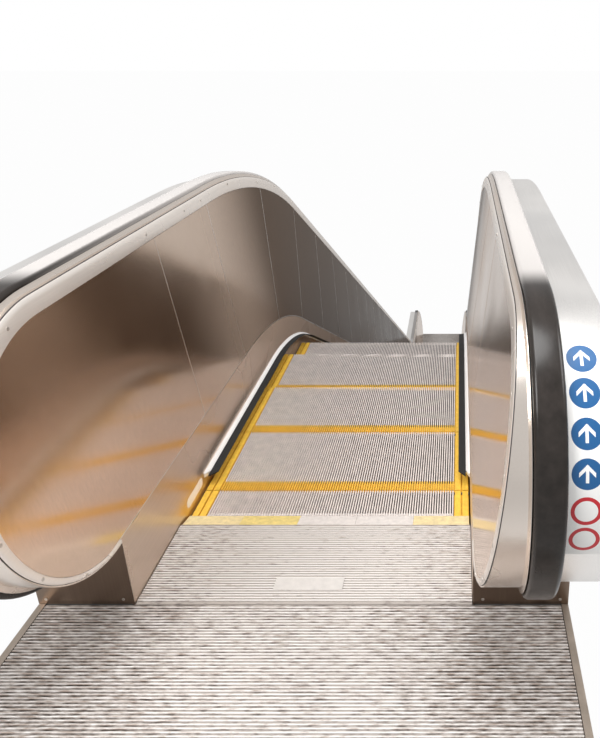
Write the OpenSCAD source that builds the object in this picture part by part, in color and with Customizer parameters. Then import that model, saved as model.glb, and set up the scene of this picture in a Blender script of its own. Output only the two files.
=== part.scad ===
// Heavy-duty public escalator with closed metal balustrades, outdoor type.
// X runs across the steps, +Y follows the descent, Z is up.
// The origin lies on the flat underside of the upper support angle, on the centre line.

/* [Layout] */
// Height between the upper and the lower landing
rise = 6000; // [4000:500:9000]
// Slope of the stairway in degrees
incline = 30; // [27:1:35]
// Floor length from the truss end to the tips of the comb
landing_len = 1290; // [1150:10:1800]
// Height of the floor above the underside of the support angle
floor_z = 160; // [120:5:240]
// Height of the floor above the treads that pass under it
floor_step = 25; // [20:1:32]

/* [Steps] */
// Width of a step
step_w = 1000; // [600:50:1100]
// Distance from one step nose to the next
step_pitch = 400; // [390:1:410]
// Gap between neighbouring steps
step_gap = 5; // [3:0.5:6]
// Number of cleats across one step
cleat_count = 36; // [21:5:61]
// Height of a cleat
cleat_h = 11; // [9:0.5:14]
// Share of the cleat pitch that is groove
groove_share = 0.55; // [0.45:0.05:0.65]
// Thickness of the tread plate under the cleats
tread_t = 10; // [8:1:16]
// Thickness of the riser plate under its cleats
riser_t = 8; // [6:1:12]
// Radius of a step roller
roller_r = 38; // [30:1:45]
// Level run of the steps from the comb tips to the upper bend
flat_upper = 1110; // [800:10:1600]
// Level run of the steps from the lower bend to the comb tips
flat_lower = 1110; // [800:10:1600]
// Bend radius of the step noses at the top
nose_r_upper = 1500; // [1200:50:2600]
// Bend radius of the step noses at the bottom
nose_r_lower = 1500; // [1200:50:2600]
// Distance from the upper comb tips to the first step gap
first_gap = 129; // [60:1:300]

/* [Balustrade] */
// Clearance between a step and the skirt
skirt_gap = 5; // [3:0.5:6]
// Thickness of the skirt, panel and deck sheets
sheet_t = 3; // [2:0.5:4]
// Height of the skirt above the floor
skirt_h = 238; // [200:2:300]
// Outward lean of the interior panels in degrees
lean = 7; // [4:0.5:10]
// Height of the top of the handrail above the floor
handrail_h = 1020; // [1000:5:1080]
// Depth of the top edge of the interior panels below the top of the handrail
panel_drop = 82; // [60:2:110]
// Depth of the outer deck below the top of the handrail
outer_deck_drop = 40; // [32:1:60]
// Level run of the balustrade from the comb tips to its upper bend
rail_flat_upper = 800; // [600:10:1200]
// Bend radius of the handrail at the top
rail_r_upper = 2800; // [2200:50:3600]
// Bend radius of the handrail at the bottom
rail_r_lower = 1200; // [1000:50:2600]
// Distance from the comb tips to the centre of the newel bend
newel_back = 435; // [380:5:560]
// Depth of the lowest point of the newel bend below the top of the skirt
newel_low = 45; // [44:1:60]
// Distance from the comb tips to the first panel joint
first_joint = 240; // [150:10:400]
// Distance from the comb tips to the last upright panel joint
second_joint = 745; // [600:5:1150]
// Length of one panel bay on the slope
bay_len = 660; // [500:10:1300]
// Gap at a panel joint
joint_gap = 2; // [1:0.5:3]

/* [Handrail] */
// Width of the handrail
handrail_w = 72; // [70:1:84]
// Height of the handrail section
handrail_t = 27; // [24:1:32]
// Width of the inner deck between the rim and the handrail
inner_deck_w = 16; // [14:1:50]
// Wall of the handrail
handrail_wall = 8; // [6:0.5:9]

/* [Housing] */
// Distance from the skirt to the outer face of the cladding
side_depth = 285; // [270:5:340]
// Width by which the outer deck stands over the cladding
deck_overhang = 20; // [10:1:30]
// Depth of the truss below the floor at the landings
truss_depth = 1080; // [1000:10:1300]
// Depth of the truss on the slope, measured square to it
truss_slope_depth = 930; // [850:10:1000]
// Width of the support angle along the descent
angle_w = 120; // [80:10:160]
// Thickness of the support angle
angle_t = 20; // [12:1:30]
// Height of the upright leg of the support angle
angle_h = 130; // [80:5:150]

/* [Landing] */
// Thickness of the floor plates
plate_t = 20; // [16:1:24]
// Pitch of the ribs on the floor plates
rib_pitch = 10; // [8:1:40]
// Height of the ribs on the floor plates
rib_h = 3; // [2:0.5:5]
// Visible length of the comb segments
comb_len = 86; // [70:1:120]
// Number of comb segments
comb_count = 5; // [3:1:7]
// Gap between floor plates and their frame
plate_gap = 2; // [1:0.5:4]

/* [Hidden] */
$fn = 48;
// Seat clearance between pieces that touch in the real machine
seat = 0.3;
tan_half = tan(incline / 2);
tread_z = floor_z - floor_step;
slope_run = rise / tan(incline);

// Places along the descent
truss_y = angle_w / 2;
tip_u = truss_y + landing_len;
nose_y0 = tip_u + flat_upper;
nose_break = nose_y0 + nose_r_upper * tan_half;
nose_y1 = nose_break + slope_run + nose_r_lower * tan_half;
tip_l = nose_y1 + flat_lower;
truss_end = tip_l + landing_len;
rail_y0 = tip_u + rail_flat_upper;
rail_y1 = rail_y0 + (rail_r_upper + rail_r_lower) * tan_half + slope_run;
newel_yu = tip_u - newel_back;
newel_yl = tip_l + newel_back;
floor_l = floor_z - rise;
tread_l = tread_z - rise;

// Places across
skirt_x = step_w / 2 + skirt_gap;
core_x = skirt_x + sheet_t + seat;
clad_x = skirt_x + side_depth;
deck_x = clad_x + deck_overhang;

// Levels below the top of the handrail, used by every section that follows the balustrade
skirt_v = skirt_h - handrail_h;
panel_v = -panel_drop;
rim_v = -handrail_t;
core_v = rim_v - 4;
newel_r = (handrail_h - skirt_h + newel_low) / 2;
newel_z = handrail_h - newel_r;
// Distances in the leaning plane of the panels, from the top of the skirt
panel_len = (panel_v - skirt_v) / cos(lean);
rim_len = (rim_v - skirt_v) / cos(lean);

// A point w up the leaning plane and t in front of the panel face, as [across, level]
function leaning(w, t) = [
    skirt_x + w * sin(lean) - t * cos(lean),
    skirt_v + w * cos(lean) + t * sin(lean)
];
// Distance across of the back plane of the panels at level v
function back_x(v, t) = skirt_x + (v - skirt_v) * tan(lean) - t / cos(lean);
// Inner deck from the back of the rim to the side of the handrail, and the handrail's centre
handrail_room = 3;
deck_in = back_x(rim_v, -sheet_t - seat) + inner_deck_w;
rail_x = deck_in + handrail_room + handrail_w / 2;

// Line that follows the stairway: level z at the top, bends starting at y0, radii ru and rl
arc_steps = 15;
function stair_line(z, y0, ru, rl, ya, yb, n = arc_steps) = concat(
    [[ya, z]],
    [for (i = [0:n]) let (a = incline * i / n) [y0 + ru * sin(a), z - ru + ru * cos(a)]],
    [for (i = [n:-1:0]) let (a = incline * i / n)
        [y0 + (ru + rl) * tan_half + slope_run - rl * sin(a), z - rise + rl - rl * cos(a)]],
    [[yb, z - rise]]
);
// Line at an offset d above the step noses
function nose_line(d, ya, yb) =
    stair_line(tread_z + d, nose_y0, nose_r_upper + d, nose_r_lower - d, ya, yb);
// Line at level v of the balustrade
function rail_line(v, ya, yb) =
    stair_line(floor_z + handrail_h + v, rail_y0, rail_r_upper + v, rail_r_lower - v, ya, yb);
function reversed(list) = [for (i = [len(list) - 1:-1:0]) list[i]];

// Underside of the truss, with straight kinks as its bottom chord has
soffit_shift = (truss_depth - truss_slope_depth / cos(incline)) / tan(incline);
function soffit_line(d) = [
    [truss_y, floor_z - truss_depth - d],
    [nose_break + soffit_shift - d * tan_half, floor_z - truss_depth - d],
    [nose_break + slope_run + soffit_shift - d * tan_half, floor_l - truss_depth - d],
    [truss_end, floor_l - truss_depth - d]
];
// Underside of the balustrade cores, which rest on the truss here
base_drop = 60;

// Outline in the upright plane of the descent, given a thickness across the machine
module across(x0, x1) {
    translate([x0, 0, 0]) rotate([90, 0, 90]) linear_extrude(x1 - x0) children();
}
module slab(x0, x1, outline) {
    across(x0, x1) polygon(outline);
}
module both_sides() {
    children();
    mirror([1, 0, 0]) children();
}

// Pieces of a section that is carried along the balustrade, right-hand side
module run_level(section, ya, yb, lower = false) {
    z = floor_z + handrail_h - (lower ? rise : 0);
    translate([0, yb, z]) rotate([90, 0, 0]) linear_extrude(yb - ya) polygon(section);
}
module run_bend_upper(section, a0, a1) {
    translate([0, rail_y0, floor_z + handrail_h - rail_r_upper]) rotate([0, -90, 0])
        rotate([0, 0, a0]) rotate_extrude(angle = a1 - a0)
            polygon([for (p = section) [rail_r_upper + p[1], -p[0]]]);
}
module run_bend_lower(section, a0, a1) {
    translate([0, rail_y1, floor_l + handrail_h + rail_r_lower]) rotate([0, -90, 0])
        rotate([0, 0, 180 + a0]) rotate_extrude(angle = a1 - a0)
            polygon([for (p = section) [rail_r_lower - p[1], -p[0]]]);
}
// Straight slope, with s0 and s1 measured down the slope from the end of the upper bend
slope_len = rise / sin(incline) - (rail_r_upper + rail_r_lower) * tan_half;
module run_slope(section, s0, s1) {
    translate([0, rail_y0 + rail_r_upper * sin(incline),
        floor_z + handrail_h - rail_r_upper * (1 - cos(incline))]) rotate([-incline, 0, 0])
            translate([0, s1, 0]) rotate([90, 0, 0]) linear_extrude(s1 - s0) polygon(section);
}
module run_newel_upper(section) {
    translate([0, newel_yu, floor_z + newel_z]) rotate([0, -90, 0]) rotate([0, 0, 180])
        rotate_extrude(angle = 180) polygon([for (p = section) [newel_r + p[1], -p[0]]]);
}
module run_newel_lower(section) {
    translate([0, newel_yl, floor_l + newel_z]) rotate([0, -90, 0])
        rotate_extrude(angle = 180) polygon([for (p = section) [newel_r + p[1], -p[0]]]);
}
module run_between_newels(section) {
    run_level(section, newel_yu, rail_y0);
    run_bend_upper(section, 0, incline);
    run_slope(section, 0, slope_len);
    run_bend_lower(section, 0, incline);
    run_level(section, rail_y1, newel_yl, lower = true);
}
// The same course in lengths with a seam between them, as decks, rims and guides are laid
g = joint_gap / 2;
cut_upper = g / rail_r_upper * 180 / PI;
cut_lower = g / rail_r_lower * 180 / PI;
deck_bays = max(1, round(slope_len / (4 * bay_len)));
module lay_between_newels(section) {
    pitch = slope_len / deck_bays;
    run_level(section, newel_yu + joint_gap, rail_y0 - g);
    run_bend_upper(section, cut_upper, incline - cut_upper);
    for (i = [0:deck_bays - 1])
        run_slope(section, i * pitch + g, (i + 1) * pitch - g);
    run_bend_lower(section, cut_lower, incline - cut_lower);
    run_level(section, rail_y1 + g, newel_yl - joint_gap, lower = true);
}
module lay_full(section) {
    run_newel_upper(section);
    lay_between_newels(section);
    run_newel_lower(section);
}
// Frame of the leaning panel plane: z up the plane, -x towards the steps
module leaning_frame(lower = false) {
    translate([skirt_x, 0, floor_z + skirt_h - (lower ? rise : 0)]) rotate([0, lean, 0])
        children();
}
// Everything behind the leaning plane, t in front of the panel face
module behind_plane(t, lower = false) {
    leaning_frame(lower) translate([-t, newel_yu - 2 * newel_r, -2 * newel_r])
        cube([2 * side_depth, newel_yl - newel_yu + 4 * newel_r, 6 * newel_r]);
}

// Closed truss: two side frames and, between them, the bed that the step rollers run on
roller_y = -115;
roller_z = -185;
roller_room = roller_r + seat;
bed_v = roller_z - roller_room;
carrier_len = 60;
// Flanged joints where the three lengths of the machine are bolted together
module flange_joints() {
    far = 2 * (rise + truss_depth);
    for (y = [nose_break, nose_break + slope_run])
        translate([-deck_x, y - seat / 2, -far]) cube([2 * deck_x, seat, 2 * far]);
}
module truss_side() {
    top = nose_line(-base_drop, truss_y, truss_end);
    color("dimgray") difference() {
        slab(core_x, clad_x - sheet_t - seat, concat(top, reversed(soffit_line(0))));
        flange_joints();
    }
}
module track_bed() {
    z = -plate_t - seat;
    rest_u = newel_yu + carrier_len;
    rest_l = newel_yl - carrier_len;
    bed = stair_line(tread_z + bed_v, nose_y0 + roller_y, nose_r_upper - roller_room,
        nose_r_lower + roller_room, rest_u, rest_l, 2 * arc_steps);
    color("dimgray") difference() {
        slab(-core_x, core_x, concat(
            [[truss_y, floor_z - base_drop], [newel_yu, floor_z - base_drop],
                [newel_yu, floor_z + z], [rest_u, floor_z + z]], bed,
            [[rest_l, floor_l + z], [newel_yl, floor_l + z],
                [newel_yl, floor_l - base_drop], [truss_end, floor_l - base_drop]],
            reversed(soffit_line(0))));
        flange_joints();
    }
}

// Joints of the cladding: upright cuts on the landings, square cuts on the slope
clad_bays = 2 * bay_len;
module cladding_joints(x0, x1) {
    w = x1 - x0;
    far = 4 * truss_depth;
    for (y = [newel_yu, rail_y0, rail_y1, newel_yl])
        translate([x0, y - joint_gap / 2, floor_l - far]) cube([w, joint_gap, rise + 2 * far]);
    for (s = [clad_bays:clad_bays:slope_len - bay_len / 2])
        translate([x0, rail_y0 + rail_r_upper * sin(incline),
            floor_z + handrail_h - rail_r_upper * (1 - cos(incline))]) rotate([-incline, 0, 0])
                translate([0, s - joint_gap / 2, -far / 2]) cube([w, joint_gap, far]);
}
clad_top_v = -outer_deck_drop - sheet_t - seat;
module side_cladding() {
    x0 = clad_x - sheet_t;
    top = rail_line(clad_top_v, newel_yu, newel_yl);
    outline = concat(top, [[newel_yl, floor_l - base_drop], [truss_end, floor_l - base_drop]],
        reversed(soffit_line(0)), [[truss_y, floor_z - base_drop], [newel_yu, floor_z - base_drop]]);
    r = newel_r + clad_top_v;
    color("silver") difference() {
        union() {
            slab(x0, clad_x, outline);
            translate([x0, newel_yu, floor_z + newel_z]) rotate([0, 90, 0]) cylinder(sheet_t, r, r);
            translate([x0, newel_yl, floor_l + newel_z]) rotate([0, 90, 0]) cylinder(sheet_t, r, r);
        }
        cladding_joints(x0 - 1, clad_x + 1);
    }
}
module soffit_panels() {
    x = clad_x;
    line = soffit_line(seat);
    outer = soffit_line(seat + sheet_t);
    color("silver") difference() {
        slab(-x, x, concat(line, reversed(outer)));
        cladding_joints(-x - 1, x + 1);
    }
}
end_plate_drop = 50;
end_plate_top = plate_t + seat + end_plate_drop;
angle_buried = 50;
angle_leg = angle_h - angle_buried;
angle_short = 40;
module end_plate(lower) {
    y = lower ? truss_end + seat : truss_y - sheet_t - seat;
    z = (lower ? floor_l : floor_z) - truss_depth;
    color("gray") translate([-clad_x, y, z]) cube([2 * clad_x, sheet_t, truss_depth - end_plate_top]);
}
module support_angle(lower) {
    w = 2 * (clad_x - angle_short);
    turn = lower ? 180 : 0;
    y = lower ? truss_end + angle_w / 2 : 0;
    y_leg = angle_w / 2 - angle_t - sheet_t - 2 * seat;
    color("dimgray") translate([0, y, lower ? -rise : 0]) rotate([0, 0, turn]) {
        translate([-w / 2, -angle_w / 2, 0]) cube([w, y_leg + angle_t + angle_w / 2, angle_t]);
        translate([-w / 2, y_leg, 0]) cube([w, angle_t, angle_leg]);
    }
}

// Balustrade core: the closed body that carries skirt, panels, decks and handrail
core_out = clad_x - sheet_t - seat;
outer_core_v = -outer_deck_drop - sheet_t - seat;
core_in = back_x(core_v, -sheet_t) + seat;
split_x = rail_x + handrail_w / 2 + 2;
front_room = sheet_t + seat;
module core_slab(x0, x1, v) {
    step_back = [[newel_yl, floor_l + skirt_h], [newel_yl - front_room, floor_l + skirt_h]];
    bottom = nose_line(-base_drop, newel_yu + front_room, newel_yl - front_room);
    step_front = [[newel_yu + front_room, floor_z + skirt_h], [newel_yu, floor_z + skirt_h]];
    slab(x0, x1, concat(rail_line(v, newel_yu, newel_yl), step_back, reversed(bottom), step_front));
}
module core_newel(x0, x1, v) {
    for (c = [[newel_yu, floor_z], [newel_yl, floor_l]])
        translate([x0, c[0], c[1] + newel_z]) rotate([0, 90, 0])
            cylinder(x1 - x0, newel_r + v, newel_r + v);
}
module balustrade_core() {
    w = handrail_w + 2 * inlet_room;
    foot = nose_line(-base_drop, newel_yu + front_room, newel_yl - front_room);
    top = rail_line(skirt_v, newel_yu + front_room, newel_yl - front_room);
    color("dimgray") difference() {
        union() {
            slab(core_x, core_in + 1, concat(top, reversed(foot)));
            core_slab(core_in, split_x, core_v);
            core_newel(core_in, split_x, core_v);
            core_slab(split_x, core_out, outer_core_v);
            core_newel(split_x, core_out, outer_core_v);
        }
        flange_joints();
        for (end = [[newel_yu, floor_z, 1], [newel_yl, floor_l, -1]]) {
            // Room for the front plate of the newel base
            translate([core_in - 1, min(end[0], end[0] + end[2] * front_room), end[1] - 1])
                cube([clad_x, front_room, skirt_h + 1]);
            // Pocket that takes the end of the handrail
            translate([rail_x - w / 2, min(end[0], end[0] + end[2] * inlet_pocket), end[1] + inlet_z0])
                cube([w, inlet_pocket, inlet_top - inlet_z0]);
        }
    }
}

// Skirt sheets beside the steps
skirt_lift = 5;
module skirt_outline() {
    top = rail_line(skirt_v - 1, newel_yu, newel_yl);
    bottom = nose_line(skirt_lift - base_drop, newel_yu, newel_yl);
    polygon(concat(top, reversed(bottom)));
}
module skirt() {
    color("silver") difference() {
        translate([skirt_x, 0, 0]) rotate([90, 0, 90]) linear_extrude(sheet_t) skirt_outline();
        cladding_joints(skirt_x - 1, skirt_x + sheet_t + 1);
        light_slots(skirt_x - 1, sheet_t + 2, 0);
    }
}

// Interior panels between skirt and rim
panel_section = [leaning(1, 0), leaning(panel_len, 0), leaning(panel_len, -sheet_t),
    leaning(1, -sheet_t)];
slope_bays = max(1, round(slope_len / bay_len));
module panel_newel(lower) {
    y = lower ? newel_yl : newel_yu;
    leaning_frame(lower) translate([0, y, panel_len / 2]) rotate([0, -90, 0])
        rotate([0, 0, lower ? 0 : 180]) rotate_extrude(angle = 180)
            translate([0, -sheet_t]) square([panel_len / 2, sheet_t]);
}
module interior_panels() {
    half = incline / 2;
    pitch = slope_len / slope_bays;
    color("silver") {
        union() {
            panel_newel(false);
            run_level(panel_section, newel_yu, tip_u + first_joint - g);
        }
        run_level(panel_section, tip_u + first_joint + g, tip_u + second_joint - g);
        union() {
            run_level(panel_section, tip_u + second_joint + g, rail_y0);
            run_bend_upper(panel_section, 0, half - cut_upper);
        }
        run_bend_upper(panel_section, half + cut_upper, incline - cut_upper);
        for (i = [0:slope_bays - 1])
            run_slope(panel_section, i * pitch + g, (i + 1) * pitch - g);
        run_bend_lower(panel_section, cut_lower, incline - cut_lower);
        run_level(panel_section, rail_y1 + g, tip_l - second_joint - g, lower = true);
        run_level(panel_section, tip_l - second_joint + g, tip_l - first_joint - g, lower = true);
        union() {
            run_level(panel_section, tip_l - first_joint + g, newel_yl, lower = true);
            panel_newel(true);
        }
    }
}

// Rounded rim round the edge of the panels
rim_lift = 2;
rim_points = [
    [panel_len + 0.5, -sheet_t], [panel_len + 0.5, 0.5], [panel_len + 5, rim_lift],
    [rim_len - 15, rim_lift], [rim_len - 7, 0.5], [rim_len - 2, -1.5], [rim_len, -sheet_t]
];
rim_section = [for (p = rim_points) leaning(p[0], p[1])];
// Round the newel the rim fills the crescent between the panel and the newel bend
rim_newel_r = newel_r + rim_v;
module rim_disc(r0, r1, t0, t1) {
    translate([rim_len - rim_newel_r, 0, t0]) cylinder(t1 - t0, r0, r1);
}
module rim_newel(lower) {
    y = lower ? newel_yl : newel_yu;
    r = panel_len / 2;
    reach = 4 * newel_r;
    leaning_frame(lower) translate([0, y, 0]) rotate([0, -90, 0]) difference() {
        union() {
            rim_disc(rim_newel_r, rim_newel_r - 2, -sheet_t, -1.5);
            rim_disc(rim_newel_r - 2, rim_newel_r - 7, -1.5, 0.5);
            rim_disc(rim_newel_r - 7, rim_newel_r - 15, 0.5, rim_lift);
        }
        translate([r, 0, -2 * sheet_t]) cylinder(4 * sheet_t, r + 0.5, r + 0.5);
        translate([-reach / 2, lower ? -reach : 0, -reach / 2]) cube(reach);
    }
}
module panel_rim() {
    color("gainsboro") {
        rim_newel(false);
        lay_between_newels(rim_section);
        rim_newel(true);
    }
}

// Inner deck between rim and handrail, widening down the newel as the panel leans in
deck_rise = handrail_t / 2;
module inner_deck() {
    t = -sheet_t - seat;
    section = [[back_x(core_v, t), core_v], [back_x(rim_v, t), rim_v],
        [deck_in - 2, rim_v + deck_rise], [deck_in, rim_v + deck_rise], [deck_in, core_v]];
    wide = [[0, core_v], [0, rim_v], [back_x(rim_v, t), rim_v],
        [deck_in - 2, rim_v + deck_rise], [deck_in, rim_v + deck_rise], [deck_in, core_v]];
    color("silver") {
        lay_between_newels(section);
        intersection() {
            run_newel_upper(wide);
            behind_plane(t);
        }
        intersection() {
            run_newel_lower(wide);
            behind_plane(t, lower = true);
        }
    }
}

// Guide that the handrail runs on
guide_top = -handrail_wall - seat;
module handrail_guide() {
    head = handrail_w / 2 - handrail_wall - 1.5;
    stem = head - 10;
    section = [[rail_x - stem, core_v], [rail_x - stem, guide_top - 10], [rail_x - head, guide_top - 10],
        [rail_x - head, guide_top], [rail_x + head, guide_top], [rail_x + head, guide_top - 10],
        [rail_x + stem, guide_top - 10], [rail_x + stem, core_v]];
    color("slategray") lay_full(section);
}

// Handrail section: rounded outside, open slot towards the guide
corner_r = 11;
corner_steps = 4;
function handrail_corner(s) = [for (i = [0:corner_steps]) let (a = 90 * i / corner_steps)
    [rail_x + s * (handrail_w / 2 - corner_r + corner_r * cos(a)), -corner_r + corner_r * sin(a)]];
handrail_in = handrail_w / 2 - handrail_wall;
lip_in = handrail_in - 8.5;
lip_top = 6 - handrail_t;
handrail_section = concat(
    handrail_corner(1),
    reversed(handrail_corner(-1)),
    [[rail_x - handrail_w / 2, lip_top], [rail_x - handrail_w / 2 + 4, -handrail_t + 0.5],
        [rail_x - lip_in, -handrail_t + 0.5], [rail_x - lip_in, lip_top],
        [rail_x - handrail_in, lip_top], [rail_x - handrail_in, -handrail_wall],
        [rail_x + handrail_in, -handrail_wall], [rail_x + handrail_in, lip_top],
        [rail_x + lip_in, lip_top], [rail_x + lip_in, -handrail_t + 0.5],
        [rail_x + handrail_w / 2 - 4, -handrail_t + 0.5], [rail_x + handrail_w / 2, lip_top]]
);
inlet_depth = 90;
inlet_pocket = inlet_depth + 10;
module handrail() {
    under = [for (p = handrail_section) [p[0], -p[1] - 2 * newel_r]];
    color([0.08, 0.08, 0.09]) {
        run_newel_upper(handrail_section);
        run_between_newels(handrail_section);
        run_newel_lower(handrail_section);
        run_level(reversed(under), newel_yu, newel_yu + inlet_depth);
        run_level(reversed(under), newel_yl - inlet_depth, newel_yl, lower = true);
    }
}

// Outer deck with its turned-down edge
edge_drop = 34;
module outer_deck() {
    top = -outer_deck_drop;
    x0 = split_x + 2;
    section = [[x0, top - sheet_t], [x0, top], [deck_x - 8, top], [deck_x - 2, top - 2.5],
        [deck_x, top - 8], [deck_x, top - edge_drop], [deck_x - sheet_t, top - edge_drop],
        [deck_x - sheet_t, top - sheet_t - 5], [deck_x - sheet_t - 6, top - sheet_t]];
    color("whitesmoke") lay_full(section);
}

// Front plates of the newel bases, with an opening for the handrail
inlet_room = 8;
inlet_z0 = newel_z - newel_r - inlet_room;
inlet_top = newel_z - newel_r + handrail_t + inlet_room;
module newel_base(lower) {
    z = lower ? floor_l : floor_z;
    y = lower ? newel_yl - sheet_t : newel_yu;
    w = handrail_w + 2 * inlet_room;
    color([0.35, 0.33, 0.31]) both_sides() difference() {
        translate([skirt_x, y, z + seat]) cube([clad_x - skirt_x, sheet_t, skirt_h - 2 * seat - 1]);
        translate([rail_x - w / 2, y - 1, z + inlet_z0]) cube([w, sheet_t + 2, inlet_top - inlet_z0]);
    }
}
collar_t = 12;
collar_over = 18;
module handrail_inlets(lower) {
    z = lower ? floor_l : floor_z;
    y = lower ? newel_yl : newel_yu - collar_t;
    w = handrail_w + 2 * inlet_room + 16;
    h = inlet_room + collar_over;
    room = 2;
    color("black") both_sides() difference() {
        translate([rail_x - w / 2, y, z + inlet_z0 - 8]) cube([w, collar_t, h]);
        translate([rail_x - handrail_w / 2 - room, y - 1, z + newel_z - newel_r - room])
            cube([handrail_w + 2 * room, collar_t + 2, h]);
    }
}

// One step: cleated tread, curved cleated riser, two cheeks with rollers. Origin at the nose.
step_depth = step_pitch - step_gap;
cleat_pitch = step_w / cleat_count;
groove_w = cleat_pitch * groove_share;
riser_angle = 33;
cheek_t = 12;
cheek_inset = 40;
cheek_x = step_w / 2 - cheek_inset;
cheek_end = 20;
cheek_front = 90;
cheek_rear = 60;
hub_w = 20;
module riser_ring(r0, r1) {
    reach = 2 * step_depth;
    translate([-step_depth, 0]) intersection() {
        difference() {
            circle(r1);
            circle(r0);
        }
        polygon([[0, 0], [reach, 0], [reach, -reach * tan(riser_angle)]]);
    }
}
module step_outline() {
    h = cleat_h + tread_t;
    translate([-step_depth, -h]) square([step_depth - cleat_h, h]);
    intersection() {
        riser_ring(0, step_depth);
        translate([-step_depth, -h]) square([step_depth, h]);
    }
    riser_ring(step_depth - cleat_h - riser_t, step_depth);
}
module groove_outline() {
    difference() {
        translate([-step_depth - 1, -step_depth]) square([2 * step_depth, step_depth + 1]);
        intersection() {
            translate([-step_depth, 0]) circle(step_depth - cleat_h);
            translate([-2 * step_depth, -2 * step_depth - cleat_h])
                square([3 * step_depth, 2 * step_depth]);
        }
    }
}
module step() {
    h = cleat_h + tread_t;
    difference() {
        across(-step_w / 2, step_w / 2) step_outline();
        for (i = [0:cleat_count])
            translate([-step_w / 2 + i * cleat_pitch, 0, 0]) across(-groove_w / 2, groove_w / 2)
                groove_outline();
    }
    for (s = [-1, 1]) {
        translate([s * cheek_x, 0, 0]) across(-cheek_t / 2, cheek_t / 2)
            polygon([[cheek_end - step_depth, -h], [-cheek_end, -h], [-1.5 * cheek_end, -cheek_front],
                [roller_y + hub_w, roller_z], [roller_y - hub_w, roller_z - hub_w / 2],
                [cheek_end - step_depth, -cheek_rear]]);
        translate([s * cheek_x - cheek_t, roller_y, roller_z]) rotate([0, 90, 0])
            cylinder(2 * cheek_t, roller_r, roller_r);
    }
}
// Nose of the step at arc length s from the upper comb tips
bend_u = nose_r_upper * incline * PI / 180;
bend_l = nose_r_lower * incline * PI / 180;
nose_slope = rise / sin(incline) - (nose_r_upper + nose_r_lower) * tan_half;
path_len = flat_upper + bend_u + nose_slope + bend_l + flat_lower;
function nose_at(s) =
    s < flat_upper ? [tip_u + s, tread_z] :
    s < flat_upper + bend_u ? let (a = (s - flat_upper) / nose_r_upper * 180 / PI)
        [nose_y0 + nose_r_upper * sin(a), tread_z - nose_r_upper * (1 - cos(a))] :
    s < flat_upper + bend_u + nose_slope ? let (d = s - flat_upper - bend_u)
        [nose_y0 + nose_r_upper * sin(incline) + d * cos(incline),
            tread_z - nose_r_upper * (1 - cos(incline)) - d * sin(incline)] :
    s < path_len - flat_lower ? let (a = (path_len - flat_lower - s) / nose_r_lower * 180 / PI)
        [nose_y1 - nose_r_lower * sin(a), tread_l + nose_r_lower * (1 - cos(a))] :
    [nose_y1 + s - path_len + flat_lower, tread_l];
step_count = floor((path_len - first_gap) / step_pitch) + 2;
upper_steps = 5;
lower_steps = 5;
slope_steps = step_count - upper_steps - lower_steps;
module steps(from, to) {
    color("lightgray") for (k = [from:to - 1]) {
        p = nose_at(first_gap + k * step_pitch);
        translate([0, p[0], p[1]]) step();
    }
}
function slope_part(i) = upper_steps + round(slope_steps * i / 4);

// Comb segments whose teeth reach into the grooves of the steps
tooth_len = 34;
tooth_dip = 5;
tooth_clear = 3;
comb_clear = 2;
comb_step = 2;
teeth = (cleat_count - 1) / comb_count;
module comb_segments(lower) {
    edge = step_w / 2;
    tooth = groove_w - tooth_clear;
    rise_t = floor_step - comb_step;
    slope = rise_t / comb_len;
    color("gold") translate([0, lower ? tip_l : tip_u, lower ? tread_l : tread_z])
        rotate([0, 0, lower ? 180 : 0]) for (i = [0:comb_count - 1]) {
            x0 = i == 0 ? -edge : -edge + (i * teeth + 0.5) * cleat_pitch + g / 2;
            x1 = i == comb_count - 1 ? edge : -edge + ((i + 1) * teeth + 0.5) * cleat_pitch - g / 2;
            slab(x0, x1, [[-comb_len, comb_clear], [-comb_len, rise_t],
                [-tooth_len, slope * tooth_len], [-tooth_len, comb_clear]]);
            for (k = [1:teeth])
                translate([-edge + (i * teeth + k) * cleat_pitch, 0, 0])
                    slab(-tooth / 2, tooth / 2, [[-tooth_len, comb_clear],
                        [-tooth_len, slope * tooth_len], [-1, slope], [0, -tooth_dip / 2],
                        [-3, -tooth_dip], [2 - tooth_len, -tooth_dip]]);
        }
}
module rib_plate(x, y0, y1, z) {
    n = floor((y1 - y0 - 10) / rib_pitch);
    start = (y1 - y0 - n * rib_pitch) / 2;
    outline = concat([[y0, -plate_t], [y0, -rib_h]],
        [for (i = [0:n - 1], k = [0:3]) [y0 + start + (i + [0.2, 0.3, 0.7, 0.8][k]) * rib_pitch,
            (k == 0 || k == 3) ? -rib_h : 0]],
        [[y1, -rib_h], [y1, -plate_t]]);
    translate([0, 0, z]) slab(-x, x, outline);
}
// Landings are drawn for the upper end and turned round for the lower one
module at_landing(lower) {
    translate([0, lower ? tip_u + tip_l : 0, lower ? -rise : 0]) rotate([0, 0, lower ? 180 : 0])
        children();
}
module comb_plate(lower) {
    x = skirt_x - plate_gap;
    back = newel_yu + plate_gap / 2;
    nose = tip_u - comb_len - seat;
    color("darkgray") at_landing(lower) rib_plate(x, back, nose, floor_z);
}
frame_w = 20;
module floor_plates(lower) {
    x = clad_x - frame_w - plate_gap;
    color("darkgray") at_landing(lower)
        rib_plate(x, truss_y + frame_w / 2 + plate_gap, newel_yu - plate_gap / 2, floor_z);
}
module landing_frame(lower) {
    bed = floor_z - base_drop + seat;
    len = newel_yu - plate_gap / 2 - truss_y;
    color("gray") at_landing(lower) difference() {
        translate([-clad_x, truss_y, bed]) cube([2 * clad_x, len, floor_z - bed]);
        translate([frame_w - clad_x, truss_y + frame_w / 2, floor_z - plate_t - seat])
            cube([2 * (clad_x - frame_w), len, plate_t + 1]);
    }
}

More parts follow.
